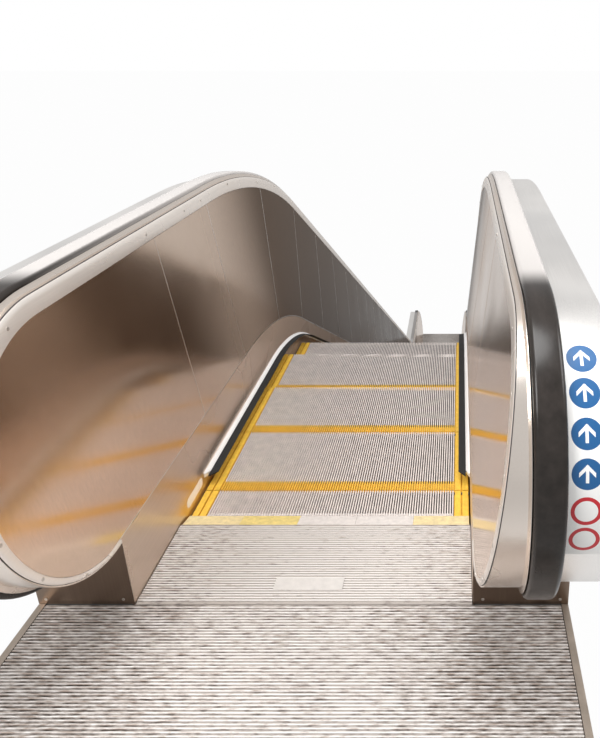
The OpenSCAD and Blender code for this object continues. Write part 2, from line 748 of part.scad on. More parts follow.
// Brush guards along both skirts
brush_d = 43;
brush_start = 150;
holder_w = 16;
holder_h = 22;
bristle_len = 28;
bristle_low = 4;
bristle_high = 12;
module brush_bar(x0, x1, d0, d1) {
    ya = tip_u + brush_start;
    yb = tip_l - brush_start;
    slab(x0, x1, concat(nose_line(d1, ya, yb), reversed(nose_line(d0, ya, yb))));
}
module brush_holders() {
    color("silver") both_sides()
        brush_bar(skirt_x - holder_w, skirt_x, brush_d, brush_d + holder_h);
}
module brush_bristles() {
    color("black") both_sides()
        brush_bar(skirt_x - holder_w - bristle_len, skirt_x - holder_w, brush_d + bristle_low,
            brush_d + bristle_high);
}

// Comb lights in the skirts
light_len = 150;
light_h = 38;
light_z = 47;
light_y = 56;
module light_slots(x0, depth, shrink) {
    r = light_h / 2 - shrink;
    run = light_len / 2 - light_h / 2;
    for (p = [[tip_u + light_y, tread_z], [tip_l - light_y, tread_l]])
        translate([x0, p[0], p[1] + light_z]) rotate([90, 0, 90]) linear_extrude(depth) {
            translate([-run, 0]) circle(r);
            translate([run, 0]) circle(r);
            translate([-run, -r]) square([2 * run, 2 * r]);
        }
}
module skirt_lights() {
    color("ivory") both_sides() light_slots(skirt_x, sheet_t, seat);
}
data_w = 212;
data_d = 48;
data_y = 54;
module data_plate() {
    color("lightgray") translate([-data_w / 2, newel_yu + data_y, floor_z])
        cube([data_w, data_d, 1.5]);
}

mirror([1, 0, 0]) truss_side();  // truss_side_left
truss_side();  // truss_side_right
track_bed();
mirror([1, 0, 0]) side_cladding();  // side_cladding_left
side_cladding();  // side_cladding_right
soffit_panels();
end_plate(false);  // end_plate_upper
end_plate(true);  // end_plate_lower
support_angle(false);  // support_angle_upper
support_angle(true);  // support_angle_lower
mirror([1, 0, 0]) balustrade_core();  // balustrade_core_left
balustrade_core();  // balustrade_core_right
mirror([1, 0, 0]) skirt();  // skirt_left
skirt();  // skirt_right
mirror([1, 0, 0]) interior_panels();  // interior_panels_left
interior_panels();  // interior_panels_right
mirror([1, 0, 0]) panel_rim();  // panel_rim_left
panel_rim();  // panel_rim_right
mirror([1, 0, 0]) inner_deck();  // inner_deck_left
inner_deck();  // inner_deck_right
mirror([1, 0, 0]) handrail_guide();  // handrail_guide_left
handrail_guide();  // handrail_guide_right
mirror([1, 0, 0]) handrail();  // handrail_left
handrail();  // handrail_right
mirror([1, 0, 0]) outer_deck();  // outer_deck_left
outer_deck();  // outer_deck_right
newel_base(false);  // newel_bases_upper
newel_base(true);  // newel_bases_lower
handrail_inlets(false);  // handrail_inlets_upper
handrail_inlets(true);  // handrail_inlets_lower
steps(0, upper_steps);  // steps_upper_landing
steps(slope_part(0), slope_part(1));  // steps_slope_1
steps(slope_part(1), slope_part(2));  // steps_slope_2
steps(slope_part(2), slope_part(3));  // steps_slope_3
steps(slope_part(3), slope_part(4));  // steps_slope_4
steps(slope_part(4), step_count);  // steps_lower_landing
comb_segments(false);  // comb_segments_upper
comb_segments(true);  // comb_segments_lower
comb_plate(false);  // comb_plate_upper
comb_plate(true);  // comb_plate_lower
floor_plates(false);  // floor_plates_upper
floor_plates(true);  // floor_plates_lower
landing_frame(false);  // landing_frame_upper
landing_frame(true);  // landing_frame_lower
brush_holders();
brush_bristles();
skirt_lights();
data_plate();
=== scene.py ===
"""Escalator with closed metal balustrades: looks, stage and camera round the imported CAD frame."""
import math

import bmesh
import bpy
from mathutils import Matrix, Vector


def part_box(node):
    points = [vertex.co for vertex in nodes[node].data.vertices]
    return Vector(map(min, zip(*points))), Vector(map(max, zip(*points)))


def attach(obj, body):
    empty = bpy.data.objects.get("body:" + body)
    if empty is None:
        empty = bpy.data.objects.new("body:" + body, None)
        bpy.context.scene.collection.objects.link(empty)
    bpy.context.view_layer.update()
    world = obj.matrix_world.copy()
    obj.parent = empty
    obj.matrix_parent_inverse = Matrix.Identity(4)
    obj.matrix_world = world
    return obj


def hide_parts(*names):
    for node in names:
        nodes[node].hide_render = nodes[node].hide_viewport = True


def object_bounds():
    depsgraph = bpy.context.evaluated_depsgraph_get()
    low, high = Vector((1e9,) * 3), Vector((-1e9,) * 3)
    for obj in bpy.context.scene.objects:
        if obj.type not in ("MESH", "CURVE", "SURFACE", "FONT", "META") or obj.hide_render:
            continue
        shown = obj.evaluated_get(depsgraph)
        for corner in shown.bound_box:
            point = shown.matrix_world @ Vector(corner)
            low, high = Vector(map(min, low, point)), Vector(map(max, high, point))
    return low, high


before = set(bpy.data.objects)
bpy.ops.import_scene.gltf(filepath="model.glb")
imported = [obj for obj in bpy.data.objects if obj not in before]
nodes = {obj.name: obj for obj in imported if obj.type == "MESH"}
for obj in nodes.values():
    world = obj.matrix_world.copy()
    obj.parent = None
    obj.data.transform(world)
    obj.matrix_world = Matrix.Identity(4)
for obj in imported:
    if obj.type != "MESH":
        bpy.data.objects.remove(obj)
cad_low, cad_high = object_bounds()

# Driving sizes of the machine, in metres
INCLINE = math.radians(30)
STEP_WIDTH = 1.000
STEP_PITCH = 0.400
STEP_GAP = 0.005
FLAT_RUN = 1.110
NOSE_RADIUS = 1.500
FIRST_GAP = 0.129
SKIRT_X = 0.505
SKIRT_TOP = 0.238
PANEL_TOP = 0.938
NEWEL_LOW = 0.045
NEWEL_BACK = 0.435
LEAN = math.radians(7)
HANDRAIL_TOP = 1.020
HANDRAIL_W = 0.072
HANDRAIL_T = 0.027
RAIL_X = SKIRT_X + 0.151
RAIL_FLAT = 0.800
RAIL_RADIUS_UPPER = 2.800
RAIL_RADIUS_LOWER = 1.200
DECK_X = SKIRT_X + 0.305
DECK_DROP = 0.040
SHEET = 0.003
SEAT = 0.0003
PANEL_LEN = (PANEL_TOP - SKIRT_TOP) / math.cos(LEAN)
RIM_LEN = (HANDRAIL_TOP - HANDRAIL_T - SKIRT_TOP) / math.cos(LEAN)

# Levels and places read from the frame
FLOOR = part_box("floor_plates_upper")[1].z
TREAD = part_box("steps_upper_landing")[1].z
FLOOR_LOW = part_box("floor_plates_lower")[1].z
TIP_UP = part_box("comb_segments_upper")[1].y
TIP_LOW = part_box("comb_segments_lower")[0].y
RISE = FLOOR - FLOOR_LOW

# Places that follow from them: newels, bends of the handrail and bends of the step noses
NEWEL_Y = TIP_UP - NEWEL_BACK
NEWEL_Y_LOW = TIP_LOW + NEWEL_BACK
NEWEL_RADIUS = (HANDRAIL_TOP - SKIRT_TOP + NEWEL_LOW) / 2
NEWEL_Z = FLOOR + HANDRAIL_TOP - NEWEL_RADIUS
HALF_TAN = math.tan(INCLINE / 2)
RUN = RISE / math.tan(INCLINE)
RAIL_Y = TIP_UP + RAIL_FLAT
RAIL_Y_LOW = RAIL_Y + (RAIL_RADIUS_UPPER + RAIL_RADIUS_LOWER) * HALF_TAN + RUN
RAIL_TOP = FLOOR + HANDRAIL_TOP
RAIL_TOP_LOW = FLOOR_LOW + HANDRAIL_TOP
SLOPE_RAIL = RISE / math.sin(INCLINE) - (RAIL_RADIUS_UPPER + RAIL_RADIUS_LOWER) * HALF_TAN
NOSE_Y = TIP_UP + FLAT_RUN
NOSE_Y_LOW = TIP_LOW - FLAT_RUN
TREAD_LOW = TREAD - RISE
SLOPE_NOSE = RISE / math.sin(INCLINE) - 2 * NOSE_RADIUS * HALF_TAN

# Steps and comb
CLEAT_H = 0.011
CLEAT_ROOT = 0.001
TREAD_PLATE = 0.010
RISER_PLATE = 0.008
RISER_TURN = math.radians(30)
CLEAT_PITCH = 0.009174
CLEAT_W = 0.0043
CLEAT_COUNT = 97
YELLOW_REAR = 0.052
INSERT_X = 0.4445
INSERT_W = 0.0215
INSERT_PLACES = (0.459, 0.4865)
CHEEK_X = 0.460
CHEEK_T = 0.012
ROLLER_Y = -0.115
ROLLER_Z = -0.185
ROLLER_R = 0.038
ROLLER_W = 0.024
COMB_LEN = 0.086
COMB_CLEAR = 0.002
COMB_FRONT = 0.009
COMB_GAP = 0.0004
TOOTH_LEN = 0.034
TOOTH_HALF = 0.0021
BRUSH_START = 0.150
BRUSH_SLANT = 0.030

# Camera of the photograph
PHOTO_WIDTH = 600
PHOTO_HEIGHT = 738
FOCAL_PIXELS = 664.8
SENSOR = 36
AXIS_X = 460
AXIS_Y = 283.3
CAMERA_PITCH = math.radians(20.1)
CAMERA_X = 0.467
CAMERA_BACK = 1.9706
CAMERA_UP = 1.6067

# Directions: the turn that lays a round piece across the machine, and the planes that cuts follow
ACROSS = (0, math.pi / 2, 0)
CUT_X, CUT_Y, CUT_Z = (1, 0, 0), (0, 1, 0), (0, 0, 1)


# ---------------------------------------------------------------- materials
COLOUR, VECTOR, NUMBER = "NodeSocketColor", "NodeSocketVector", "NodeSocketFloat"
WHITE = (1, 1, 1, 1)


def feed(tree, made, inputs):
    """Sets the sockets of a node to values, or links them to other sockets."""
    for key, value in inputs.items():
        if isinstance(value, bpy.types.NodeSocket):
            tree.links.new(value, made.inputs[key])
        else:
            made.inputs[key].default_value = value


def add_node(tree, kind, inputs, **settings):
    """Adds a shader node with its settings and inputs, and gives its outputs."""
    made = tree.nodes.new("ShaderNode" + kind)
    for key, value in settings.items():
        setattr(made, key, value)
    feed(tree, made, inputs)
    return made.outputs


def new_material(name):
    """A material with its nodes cleared down to a Principled BSDF and an output."""
    mat = bpy.data.materials.new(name)
    mat.use_nodes = True
    tree = mat.node_tree
    tree.nodes.clear()
    out = tree.nodes.new("ShaderNodeOutputMaterial")
    shader = tree.nodes.new("ShaderNodeBsdfPrincipled")
    tree.links.new(shader.outputs["BSDF"], out.inputs["Surface"])
    return mat, tree, shader


def new_group(name, inputs, outputs):
    """An empty node group with named sockets, and its input and output nodes."""
    group = bpy.data.node_groups.new(name, "ShaderNodeTree")
    for label, kind, value in inputs:
        made = group.interface.new_socket(name=label, in_out="INPUT", socket_type=kind)
        made.default_value = value
    for label, kind in outputs:
        group.interface.new_socket(name=label, in_out="OUTPUT", socket_type=kind)
    return group, group.nodes.new("NodeGroupInput").outputs, group.nodes.new("NodeGroupOutput")


def object_place(tree):
    return add_node(tree, "TexCoord", {})["Object"]


def apart(tree, place):
    return add_node(tree, "SeparateXYZ", {0: place})


def maths(tree, kind, *values):
    """A sum of values or sockets."""
    return add_node(tree, "Math", dict(enumerate(values)), operation=kind)[0]


def span(tree, value, low=0.0, high=1.0, to_low=0.0, to_high=1.0, smooth=False):
    """Carries a value from one range to another, evenly or with soft ends."""
    ends = {"Value": value, "From Min": low, "From Max": high, "To Min": to_low, "To Max": to_high}
    return add_node(tree, "MapRange", ends, interpolation_type="SMOOTHSTEP" if smooth else "LINEAR")["Result"]


def ramp(tree, source, low, high):
    """Black to white between two places of a factor."""
    made = tree.nodes.new("ShaderNodeValToRGB")
    made.color_ramp.elements[0].position = low
    made.color_ramp.elements[1].position = high
    tree.links.new(source, made.inputs["Fac"])
    return made.outputs["Color"]


def noise(tree, vector, scale, detail, rough):
    return add_node(tree, "TexNoise", {"Vector": vector, "Scale": scale, "Detail": detail, "Roughness": rough})["Fac"]


def stretched(tree, vector, scale):
    return add_node(tree, "Mapping", {"Vector": vector, "Scale": scale})["Vector"]


def mixed(tree, factor, a, b):
    """A colour mix; a and b are colours or sockets."""
    return add_node(tree, "Mix", {"Factor": factor, "A": a, "B": b}, data_type="RGBA")["Result"]


# Sheets keep their bright tone up to the first place beyond each comb, and from the second on they take a painted
# shade and are less of a metal
LIT_TO_SHADED_RANGES = ((TIP_UP + 0.2, TIP_UP + 1.5), (TIP_LOW - 0.2, TIP_LOW - 1.5))
DULL_METAL = 0.08
DULL_IOR = 1.03
GRAIN_DEPTH = 0.12
GRAIN_BUMP = 0.02
GRAIN_ALONG = (900, 3, 900)
GRAIN_UP = (260, 260, 2)


def brushed_group():
    """Brushed sheet: fine lines over a slow change of tone, bright at the landings, with a painted shade between
    them.
    """
    group, given, made = new_group(
        "brushed_sheet",
        [("Clean", COLOUR, (0.6, 0.6, 0.6, 1)), ("Tarnished", COLOUR, (0.4, 0.35, 0.3, 1)),
         ("Painted shade between landings", COLOUR, (0.4, 0.35, 0.3, 1)), ("Grain stretch", VECTOR, (1, 1, 1)),
         ("Grain depth", NUMBER, 0.15), ("Smooth", NUMBER, 0.2), ("Rough", NUMBER, 0.4)],
        [("Color", COLOUR), ("Roughness", NUMBER), ("Height", NUMBER), ("Metal", NUMBER)],
    )
    place = object_place(group)
    along = add_node(group, "VectorMath", {0: place, 1: given["Grain stretch"]}, operation="MULTIPLY")[0]
    grain = noise(group, along, 1.0, 3, 0.7)
    tarnish = ramp(group, noise(group, place, 1.1, 3, 0.5), 0.28, 0.74)
    bright = mixed(group, tarnish, given["Clean"], given["Tarnished"])
    level = apart(group, place)["Y"]
    # Mask of the painted shade: none at the landings, full between them
    upper, lower = (span(group, level, near, far, smooth=True) for near, far in LIT_TO_SHADED_RANGES)
    between = maths(group, "MULTIPLY", upper, lower)
    tone = mixed(group, between, bright, given["Painted shade between landings"])
    lines = span(group, grain, 0.3, 0.7, maths(group, "SUBTRACT", 1.0, given["Grain depth"]))
    feed(group, made, {
        "Color": add_node(group, "VectorMath", {0: tone, "Scale": lines}, operation="SCALE")[0],
        "Roughness": span(group, noise(group, place, 2.3, 2, 0.5), 0.3, 0.7, given["Smooth"], given["Rough"]),
        "Height": grain,
        "Metal": span(group, between, to_low=1.0, to_high=DULL_METAL),
    })
    return group


BRUSHED = brushed_group()


def brushed_steel(name, clean, tarnished, stretch, smooth, rough, between=None, metal=1.0):
    """Brushed sheet in its own tones; with a painted shade tone for between the landings it is also less of a metal
    there.
    """
    mat, tree, shader = new_material(name)
    sheet = add_node(tree, "Group", {
        "Clean": (*clean, 1), "Tarnished": (*tarnished, 1), "Painted shade between landings": (*(between or tarnished), 1),
        "Grain stretch": stretch, "Grain depth": GRAIN_DEPTH, "Smooth": smooth, "Rough": rough,
    }, node_tree=BRUSHED)
    dent = add_node(tree, "Bump", {"Strength": GRAIN_BUMP, "Distance": 0.001, "Height": sheet["Height"]})
    feed(tree, shader, {"Base Color": sheet["Color"], "Roughness": sheet["Roughness"], "Normal": dent["Normal"],
                        "Metallic": sheet["Metal"] if between else metal})
    if between:
        shader.inputs["IOR"].default_value = DULL_IOR
    return mat


def plain(name, colour, rough, metal=0.0, spread=0.25, scale=18.0):
    """A material with a cloudy change of tone and roughness."""
    mat, tree, shader = new_material(name)
    cloud = noise(tree, object_place(tree), scale, 5, 0.6)
    dark = tuple(c * (1 - spread) for c in colour) + (1,)
    feed(tree, shader, {
        "Base Color": mixed(tree, ramp(tree, cloud, 0.3, 0.7), dark, (*colour, 1)),
        "Metallic": metal,
        "Roughness": span(tree, cloud, to_low=rough * 0.8, to_high=min(1.0, rough * 1.25)),
    })
    return mat


# The last colour of the panels is a near black painted shade for between the landings
PANEL_STEEL = brushed_steel("panel_steel", (0.92, 0.75, 0.62), (0.78, 0.61, 0.49), GRAIN_UP, 0.10, 0.20,
                            (0.11, 0.080, 0.060))
# Near white painted highlight for the panel joints and the panel edge above the skirt
JOINT_HIGHLIGHT = brushed_steel("joint_painted_highlight", (0.93, 0.90, 0.86), (0.86, 0.82, 0.78), GRAIN_ALONG, 0.25, 0.4)
# The last colour of the skirts is a darker painted shade for between the landings
SKIRT_STEEL = brushed_steel("skirt_steel", (0.84, 0.69, 0.58), (0.72, 0.58, 0.47), GRAIN_ALONG, 0.22, 0.34,
                            (0.40, 0.31, 0.25))
RIM_STEEL = brushed_steel("rim_steel", (0.88, 0.83, 0.78), (0.81, 0.74, 0.68), GRAIN_ALONG, 0.22, 0.36, metal=0.55)
INNER_STEEL = brushed_steel("inner_deck_steel", (0.93, 0.85, 0.78), (0.80, 0.70, 0.62), GRAIN_ALONG, 0.20, 0.34)
DECK_STEEL = brushed_steel("deck_steel", (0.95, 0.93, 0.91), (0.90, 0.87, 0.84), GRAIN_ALONG, 0.30, 0.45)
CLAD_STEEL = brushed_steel("cladding_steel", (0.64, 0.60, 0.56), (0.54, 0.50, 0.46), GRAIN_UP, 0.26, 0.42)
BASE_STEEL = brushed_steel("base_steel", (0.30, 0.225, 0.175), (0.19, 0.14, 0.105), GRAIN_UP, 0.25, 0.45)
STEP_METAL = plain("step_aluminium", (0.96, 0.88, 0.84), 0.42, 0.35, 0.20, 30.0)
# Near black painted shade for the step grooves and the gap along the rims
GROOVE_SHADE = plain("groove_painted_shade", (0.060, 0.050, 0.048), 0.7, 0.0, 0.4, 30.0)
YELLOW = plain("demarcation_yellow", (0.92, 0.57, 0.07), 0.42, 0.0, 0.24, 40.0)
COMB_METAL = plain("comb_worn", (0.80, 0.76, 0.73), 0.42, 0.1, 0.22, 60.0)
BLANK_PLATE = plain("blank_plate_steel", (0.74, 0.71, 0.68), 0.4, 0.3, 0.12, 40.0)
COMB_YELLOW = plain("comb_yellow_paint", (0.86, 0.70, 0.26), 0.42, 0.0, 0.30, 60.0)
COMB_EDGE = plain("comb_edge_paint", (0.86, 0.72, 0.40), 0.42, 0.0, 0.30, 60.0)
FRAME_METAL = plain("frame_aluminium", (0.50, 0.42, 0.35), 0.40, 0.85)
INLET = plain("inlet_rubber", (0.012, 0.011, 0.010), 0.7)
PAINT = plain("truss_paint", (0.16, 0.16, 0.16), 0.55)
GUIDE = plain("guide_steel", (0.30, 0.30, 0.31), 0.4, 0.9)
HOLDER = plain("brush_holder_aluminium", (0.97, 0.96, 0.95), 0.30, 0.15, 0.05)
BRISTLE = plain("bristle_black", (0.012, 0.012, 0.012), 0.8)
LENS = plain("light_lens", (0.96, 0.91, 0.85), 0.2, 0.0, 0.06)
SCREW = plain("screw_steel", (0.62, 0.58, 0.54), 0.35, 0.9, 0.2, 60.0)


def glossy_rubber():
    """Black rubber, dark seen square on; a painted sheen turns its colour light grey at flat angles between the
    newels.
    """
    mat, tree, shader = new_material("handrail_rubber")
    place = object_place(tree)
    cloud = noise(tree, stretched(tree, place, (30, 4, 30)), 1.0, 4, 0.6)
    dark = mixed(tree, ramp(tree, cloud, 0.3, 0.7), (0.016, 0.013, 0.011, 1), (0.030, 0.024, 0.021, 1))
    level = apart(tree, place)["Y"]
    # Painted sheen: light grey base colour at flat angles, faded out at the newel ends
    painted_sheen = span(tree, add_node(tree, "LayerWeight", {"Blend": 0.5})["Facing"], 0.34, 0.76, smooth=True)
    for start, full in ((NEWEL_Y - 0.02, NEWEL_Y + 0.12), (NEWEL_Y_LOW + 0.02, NEWEL_Y_LOW - 0.12)):
        painted_sheen = maths(tree, "MULTIPLY", painted_sheen, span(tree, level, start, full, smooth=True))
    feed(tree, shader, {
        "Base Color": mixed(tree, painted_sheen, dark, (0.52, 0.49, 0.47, 1)),
        "Specular IOR Level": 0.3,
        "Roughness": span(tree, cloud, to_low=0.16, to_high=0.30),
    })
    return mat


# Plates are lighter inside the newels and towards the middle of the walk, from the first place to the second: partly
# foot wear, partly a painted highlight
WORN_AND_LIT_ZONES = (("Y", NEWEL_Y - 0.002, NEWEL_Y), ("Y", NEWEL_Y_LOW + 0.002, NEWEL_Y_LOW),
          ("X", -0.55, -0.10), ("X", 0.55, 0.10))
WORN_AND_LIT_GAIN = 0.11
RIB_TOP_DEPTH = 0.0012


def worn_plate():
    """Ribbed aluminium plate: rib tops worn bright in patches, grooves much darker than the rib tops, and brown dirt
    in short dashes.
    """
    mat, tree, shader = new_material("plate_aluminium")
    place = object_place(tree)
    level = apart(tree, place)
    patches = noise(tree, place, 1.6, 4, 0.6)
    dashes = noise(tree, stretched(tree, place, (26, 150, 26)), 1.0, 4, 0.65)
    worn = maths(tree, "MULTIPLY_ADD", patches, 0.25, dashes)
    # Lighter zones: partly foot wear, partly a painted highlight
    for axis, near, far in WORN_AND_LIT_ZONES:
        worn = maths(tree, "ADD", worn, span(tree, level[axis], near, far, to_high=WORN_AND_LIT_GAIN, smooth=True))
    wear = ramp(tree, worn, 0.74, 1.0)
    # Faces below the rib tops take the much darker groove colour
    tops = [maths(tree, "COMPARE", level["Z"], floor, RIB_TOP_DEPTH) for floor in (FLOOR, FLOOR_LOW)]
    rib = mixed(tree, wear, (0.36, 0.29, 0.25, 1), (0.80, 0.77, 0.75, 1))
    groove = mixed(tree, wear, (0.05, 0.038, 0.03, 1), (0.44, 0.40, 0.37, 1))
    feed(tree, shader, {
        "Base Color": mixed(tree, maths(tree, "MAXIMUM", *tops), groove, rib),
        "Metallic": 0.15,
        "Roughness": span(tree, wear, to_low=0.5, to_high=0.3),
    })
    return mat


# Strip on the newel of the right outer deck; its ends and the middles of its discs are angles up from the front
SIGN_X = 0.7365
SIGN_WIDTH = 0.078
SIGN_LIFT = 0.0004
SIGN_TOP = math.radians(67)
SIGN_LOW = math.radians(-14)
BLUE_ANGLES = (56.5, 44, 30.7, 17.7)
RED_ANGLES = (4.8, -6.7)
SIGN_RADIUS = 0.034
SIGN_INSIDE = 0.74
ARROW_HEAD = 0.016
ARROW_HALF = 0.018
ARROW_BAR = 0.005
ARROW_STEM = 0.019
ARROW_LINE = 0.0035
FILM_WHITE = (0.90, 0.89, 0.87, 1)
DISC_BLUE = (0.012, 0.10, 0.27, 1)
RING_RED = (0.55, 0.02, 0.03, 1)


def disc_group():
    """Masks of one round mark: the whole disc, its inside without the border, and an arrow that points up."""
    group, given, made = new_group(
        "round_sign",
        [("Across", NUMBER, 0.0), ("Along", NUMBER, 0.0), ("Middle", NUMBER, 0.0)],
        [("Disc", NUMBER), ("Inside", NUMBER), ("Arrow", NUMBER)],
    )

    def work(kind, *values):
        return maths(group, kind, *values)

    up = work("SUBTRACT", given["Along"], given["Middle"])
    side = work("ABSOLUTE", given["Across"])
    away = work("SQRT", work("ADD", work("MULTIPLY", up, up), work("MULTIPLY", side, side)))
    slant = work("ABSOLUTE", work("SUBTRACT", work("ADD", up, side), ARROW_HEAD))
    head = work("MULTIPLY", work("LESS_THAN", slant, ARROW_BAR), work("LESS_THAN", side, ARROW_HALF))
    height = work("ABSOLUTE", up)
    stem = work("MULTIPLY", work("LESS_THAN", side, ARROW_LINE), work("LESS_THAN", height, ARROW_STEM))
    feed(group, made, {
        "Disc": work("LESS_THAN", away, SIGN_RADIUS),
        "Inside": work("LESS_THAN", away, SIGN_RADIUS * SIGN_INSIDE),
        "Arrow": work("MAXIMUM", head, stem),
    })
    return group


def sign_print():
    """White film with four blue discs that hold an arrow and two plain red rings."""
    mat, tree, shader = new_material("sign_print")
    discs = disc_group()
    place = apart(tree, object_place(tree))
    reach = NEWEL_RADIUS - DECK_DROP
    across = maths(tree, "SUBTRACT", place["X"], SIGN_X)
    turn = maths(tree, "ARCTAN2", maths(tree, "SUBTRACT", place["Z"], NEWEL_Z),
                 maths(tree, "SUBTRACT", NEWEL_Y, place["Y"]))
    along = maths(tree, "MULTIPLY", turn, reach)
    tone = FILM_WHITE
    for angle in BLUE_ANGLES + RED_ANGLES:
        blue = angle in BLUE_ANGLES
        mark = add_node(tree, "Group", {"Middle": math.radians(angle) * reach, "Across": across, "Along": along},
                        node_tree=discs)
        tone = mixed(tree, mark["Disc"], tone, DISC_BLUE if blue else RING_RED)
        tone = mixed(tree, mark["Arrow" if blue else "Inside"], tone, FILM_WHITE)
    feed(tree, shader, {"Base Color": tone, "Roughness": 0.35})
    return mat


RUBBER = glossy_rubber()
PLATE_METAL = worn_plate()
SIGN_PRINT = sign_print()

# Coats of pieces that have more than one, and which coat each comb segment has
STEP_COATS = [STEP_METAL, YELLOW, GROOVE_SHADE]
COMB_COATS = [COMB_METAL, COMB_YELLOW, COMB_EDGE]
COMB_PAINT = (2, 1, 0, 0, 2)
RIM_COATS = [RIM_STEEL, GROOVE_SHADE]
PANEL_COATS = [PANEL_STEEL, JOINT_HIGHLIGHT]

NODE_MATERIAL = {
    "truss": PAINT, "track": PAINT, "end_plate": PAINT, "support": PAINT, "balustrade_core": PAINT,
    "side_cladding": CLAD_STEEL, "soffit": CLAD_STEEL, "skirt_l": SKIRT_STEEL, "skirt_r": SKIRT_STEEL,
    "skirt_lights": LENS, "interior": PANEL_STEEL, "panel_rim": RIM_STEEL, "inner_deck": RIM_STEEL,
    "handrail_guide": GUIDE, "handrail_l": RUBBER, "handrail_r": RUBBER, "handrail_inlets": INLET,
    "outer_deck": DECK_STEEL, "newel_bases": BASE_STEEL, "steps": STEP_METAL, "comb_segments": COMB_METAL,
    "comb_plate": PLATE_METAL, "floor_plates": PLATE_METAL, "landing_frame": FRAME_METAL,
    "brush_holders": HOLDER, "brush_bristles": BRISTLE, "data_plate": BLANK_PLATE,
}


def dress_nodes():
    """Gives each CAD node the material with the longest key that its name starts with."""
    for name, obj in nodes.items():
        key = max((key for key in NODE_MATERIAL if name.startswith(key)), key=len)
        coat(obj, [NODE_MATERIAL[key]])


# ---------------------------------------------------------------- modelling by hand
def start_clean():
    if bpy.context.object and bpy.context.object.mode == "EDIT":
        bpy.ops.object.mode_set(mode="OBJECT")
    bpy.ops.object.select_all(action="DESELECT")


def choose(piece):
    """Leaves one piece selected and active, in object mode."""
    start_clean()
    piece.select_set(True)
    bpy.context.view_layer.objects.active = piece


def settle(name):
    """Names the active piece and applies its place, turn and size to its mesh."""
    bpy.ops.object.transform_apply(location=True, rotation=True, scale=True)
    bpy.context.object.name = name
    return bpy.context.object


def select_all():
    bpy.ops.mesh.select_all(action="SELECT")


def edit(piece):
    """Opens a piece for editing, with nothing selected."""
    choose(piece)
    bpy.ops.object.mode_set(mode="EDIT")
    bpy.ops.mesh.select_all(action="DESELECT")


def done():
    bpy.ops.object.mode_set(mode="OBJECT")


def block(name, low, high):
    """A block between two corners, left in object mode as the start of a piece."""
    start_clean()
    bpy.ops.mesh.primitive_cube_add(size=1, location=[(a + b) / 2 for a, b in zip(low, high)])
    bpy.context.object.scale = [b - a for a, b in zip(low, high)]
    return settle(name)


def pick(test, kind="FACE"):
    """Selects what passes a test of its middle and its normal, or of an edge's middle and run; gives the count."""
    mesh = bmesh.from_edit_mesh(bpy.context.object.data)
    bpy.context.tool_settings.mesh_select_mode = (kind == "VERT", kind == "EDGE", kind == "FACE")
    for item in (*mesh.faces, *mesh.edges, *mesh.verts):
        item.select = False
    if kind == "FACE":
        found = [f for f in mesh.faces if test(f.calc_center_median(), f.normal)]
    elif kind == "EDGE":
        ends = ((e, *(v.co for v in e.verts)) for e in mesh.edges)
        found = [e for e, first, last in ends if test((first + last) / 2, last - first)]
    else:
        found = [v for v in mesh.verts if test(v.co, v.normal)]
    for item in found:
        item.select_set(True)
    mesh.select_flush_mode()
    bmesh.update_edit_mesh(bpy.context.object.data)
    return len(found)


def push(x=0.0, y=0.0, z=0.0):
    """Extrudes what is selected."""
    bpy.ops.mesh.extrude_region_move(TRANSFORM_OT_translate={"value": (x, y, z)})


def turn_out(centre, angle, steps):
    """Spins what is selected about an axis across the machine."""
    bpy.ops.mesh.spin(steps=steps, angle=angle, center=centre, axis=(1, 0, 0))


def cut(place, normal, drop=None, fill=False):
    """Cuts the whole piece by a plane, and may drop one side of it."""
    select_all()
    bpy.ops.mesh.bisect(plane_co=place, plane_no=normal, clear_inner=drop == "inner",
                        clear_outer=drop == "outer", use_fill=fill)


def face_out():
    select_all()
    bpy.ops.mesh.normals_make_consistent(inside=False)
    done()


def seal(piece):
    """Merges doubles and turns every face outwards."""
    edit(piece)
    select_all()
    bpy.ops.mesh.remove_doubles(threshold=0.00002)
    face_out()


def join(name, pieces):
    """Makes one piece of several, on the first one's mesh and coats."""
    start_clean()
    for piece in pieces:
        piece.select_set(True)
    bpy.context.view_layer.objects.active = pieces[0]
    if len(pieces) > 1:
        bpy.ops.object.join()
    made = bpy.context.object
    made.name = name
    made.data.name = name
    return made


def copy_to(piece, offset=(0, 0, 0), turn=(0, 0, 0), mirror=False):
    """A copy with its own mesh, mirrored across the machine or turned, then moved."""
    twin = piece.copy()
    twin.data = piece.data.copy()
    bpy.context.scene.collection.objects.link(twin)
    choose(twin)
    twin.scale = (-1 if mirror else 1, 1, 1)
    twin.rotation_euler = turn
    twin.location = offset
    settle(twin.name)
    if mirror:
        edit(twin)
        face_out()
    return twin


def in_a_row(piece, count):
    """Repeats a piece across the machine at the pitch of the cleats, evenly about the centre line."""
    choose(piece)
    piece.location.x = -(count - 1) / 2 * CLEAT_PITCH
    settle(piece.name)
    row = piece.modifiers.new("row", "ARRAY")
    row.count = count
    row.use_relative_offset = False
    row.use_constant_offset = True
    row.constant_offset_displace = (CLEAT_PITCH, 0, 0)
    bpy.ops.object.modifier_apply(modifier=row.name)
    return piece


def coat(piece, materials):
    """Gives a piece its material slots, so that faces can be painted by number."""
    piece.data.materials.clear()
    for mat in materials:
        piece.data.materials.append(mat)


def paint_faces(piece, number, test):
    """Gives a material number to the faces whose middle and normal pass a test."""
    for face in piece.data.polygons:
        if test(face.center, face.normal):
            face.material_index = number


def dress(piece, materials, stands_for=(), smooth=None):
    """Gives a finished piece its materials and its place in the frame."""
    if list(piece.data.materials) != list(materials):
        coat(piece, materials)
    if smooth is not None:
        choose(piece)
        bpy.ops.object.shade_smooth_by_angle(angle=math.radians(smooth))
    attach(piece, "root")
    if stands_for:
        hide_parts(*stands_for)
    return piece


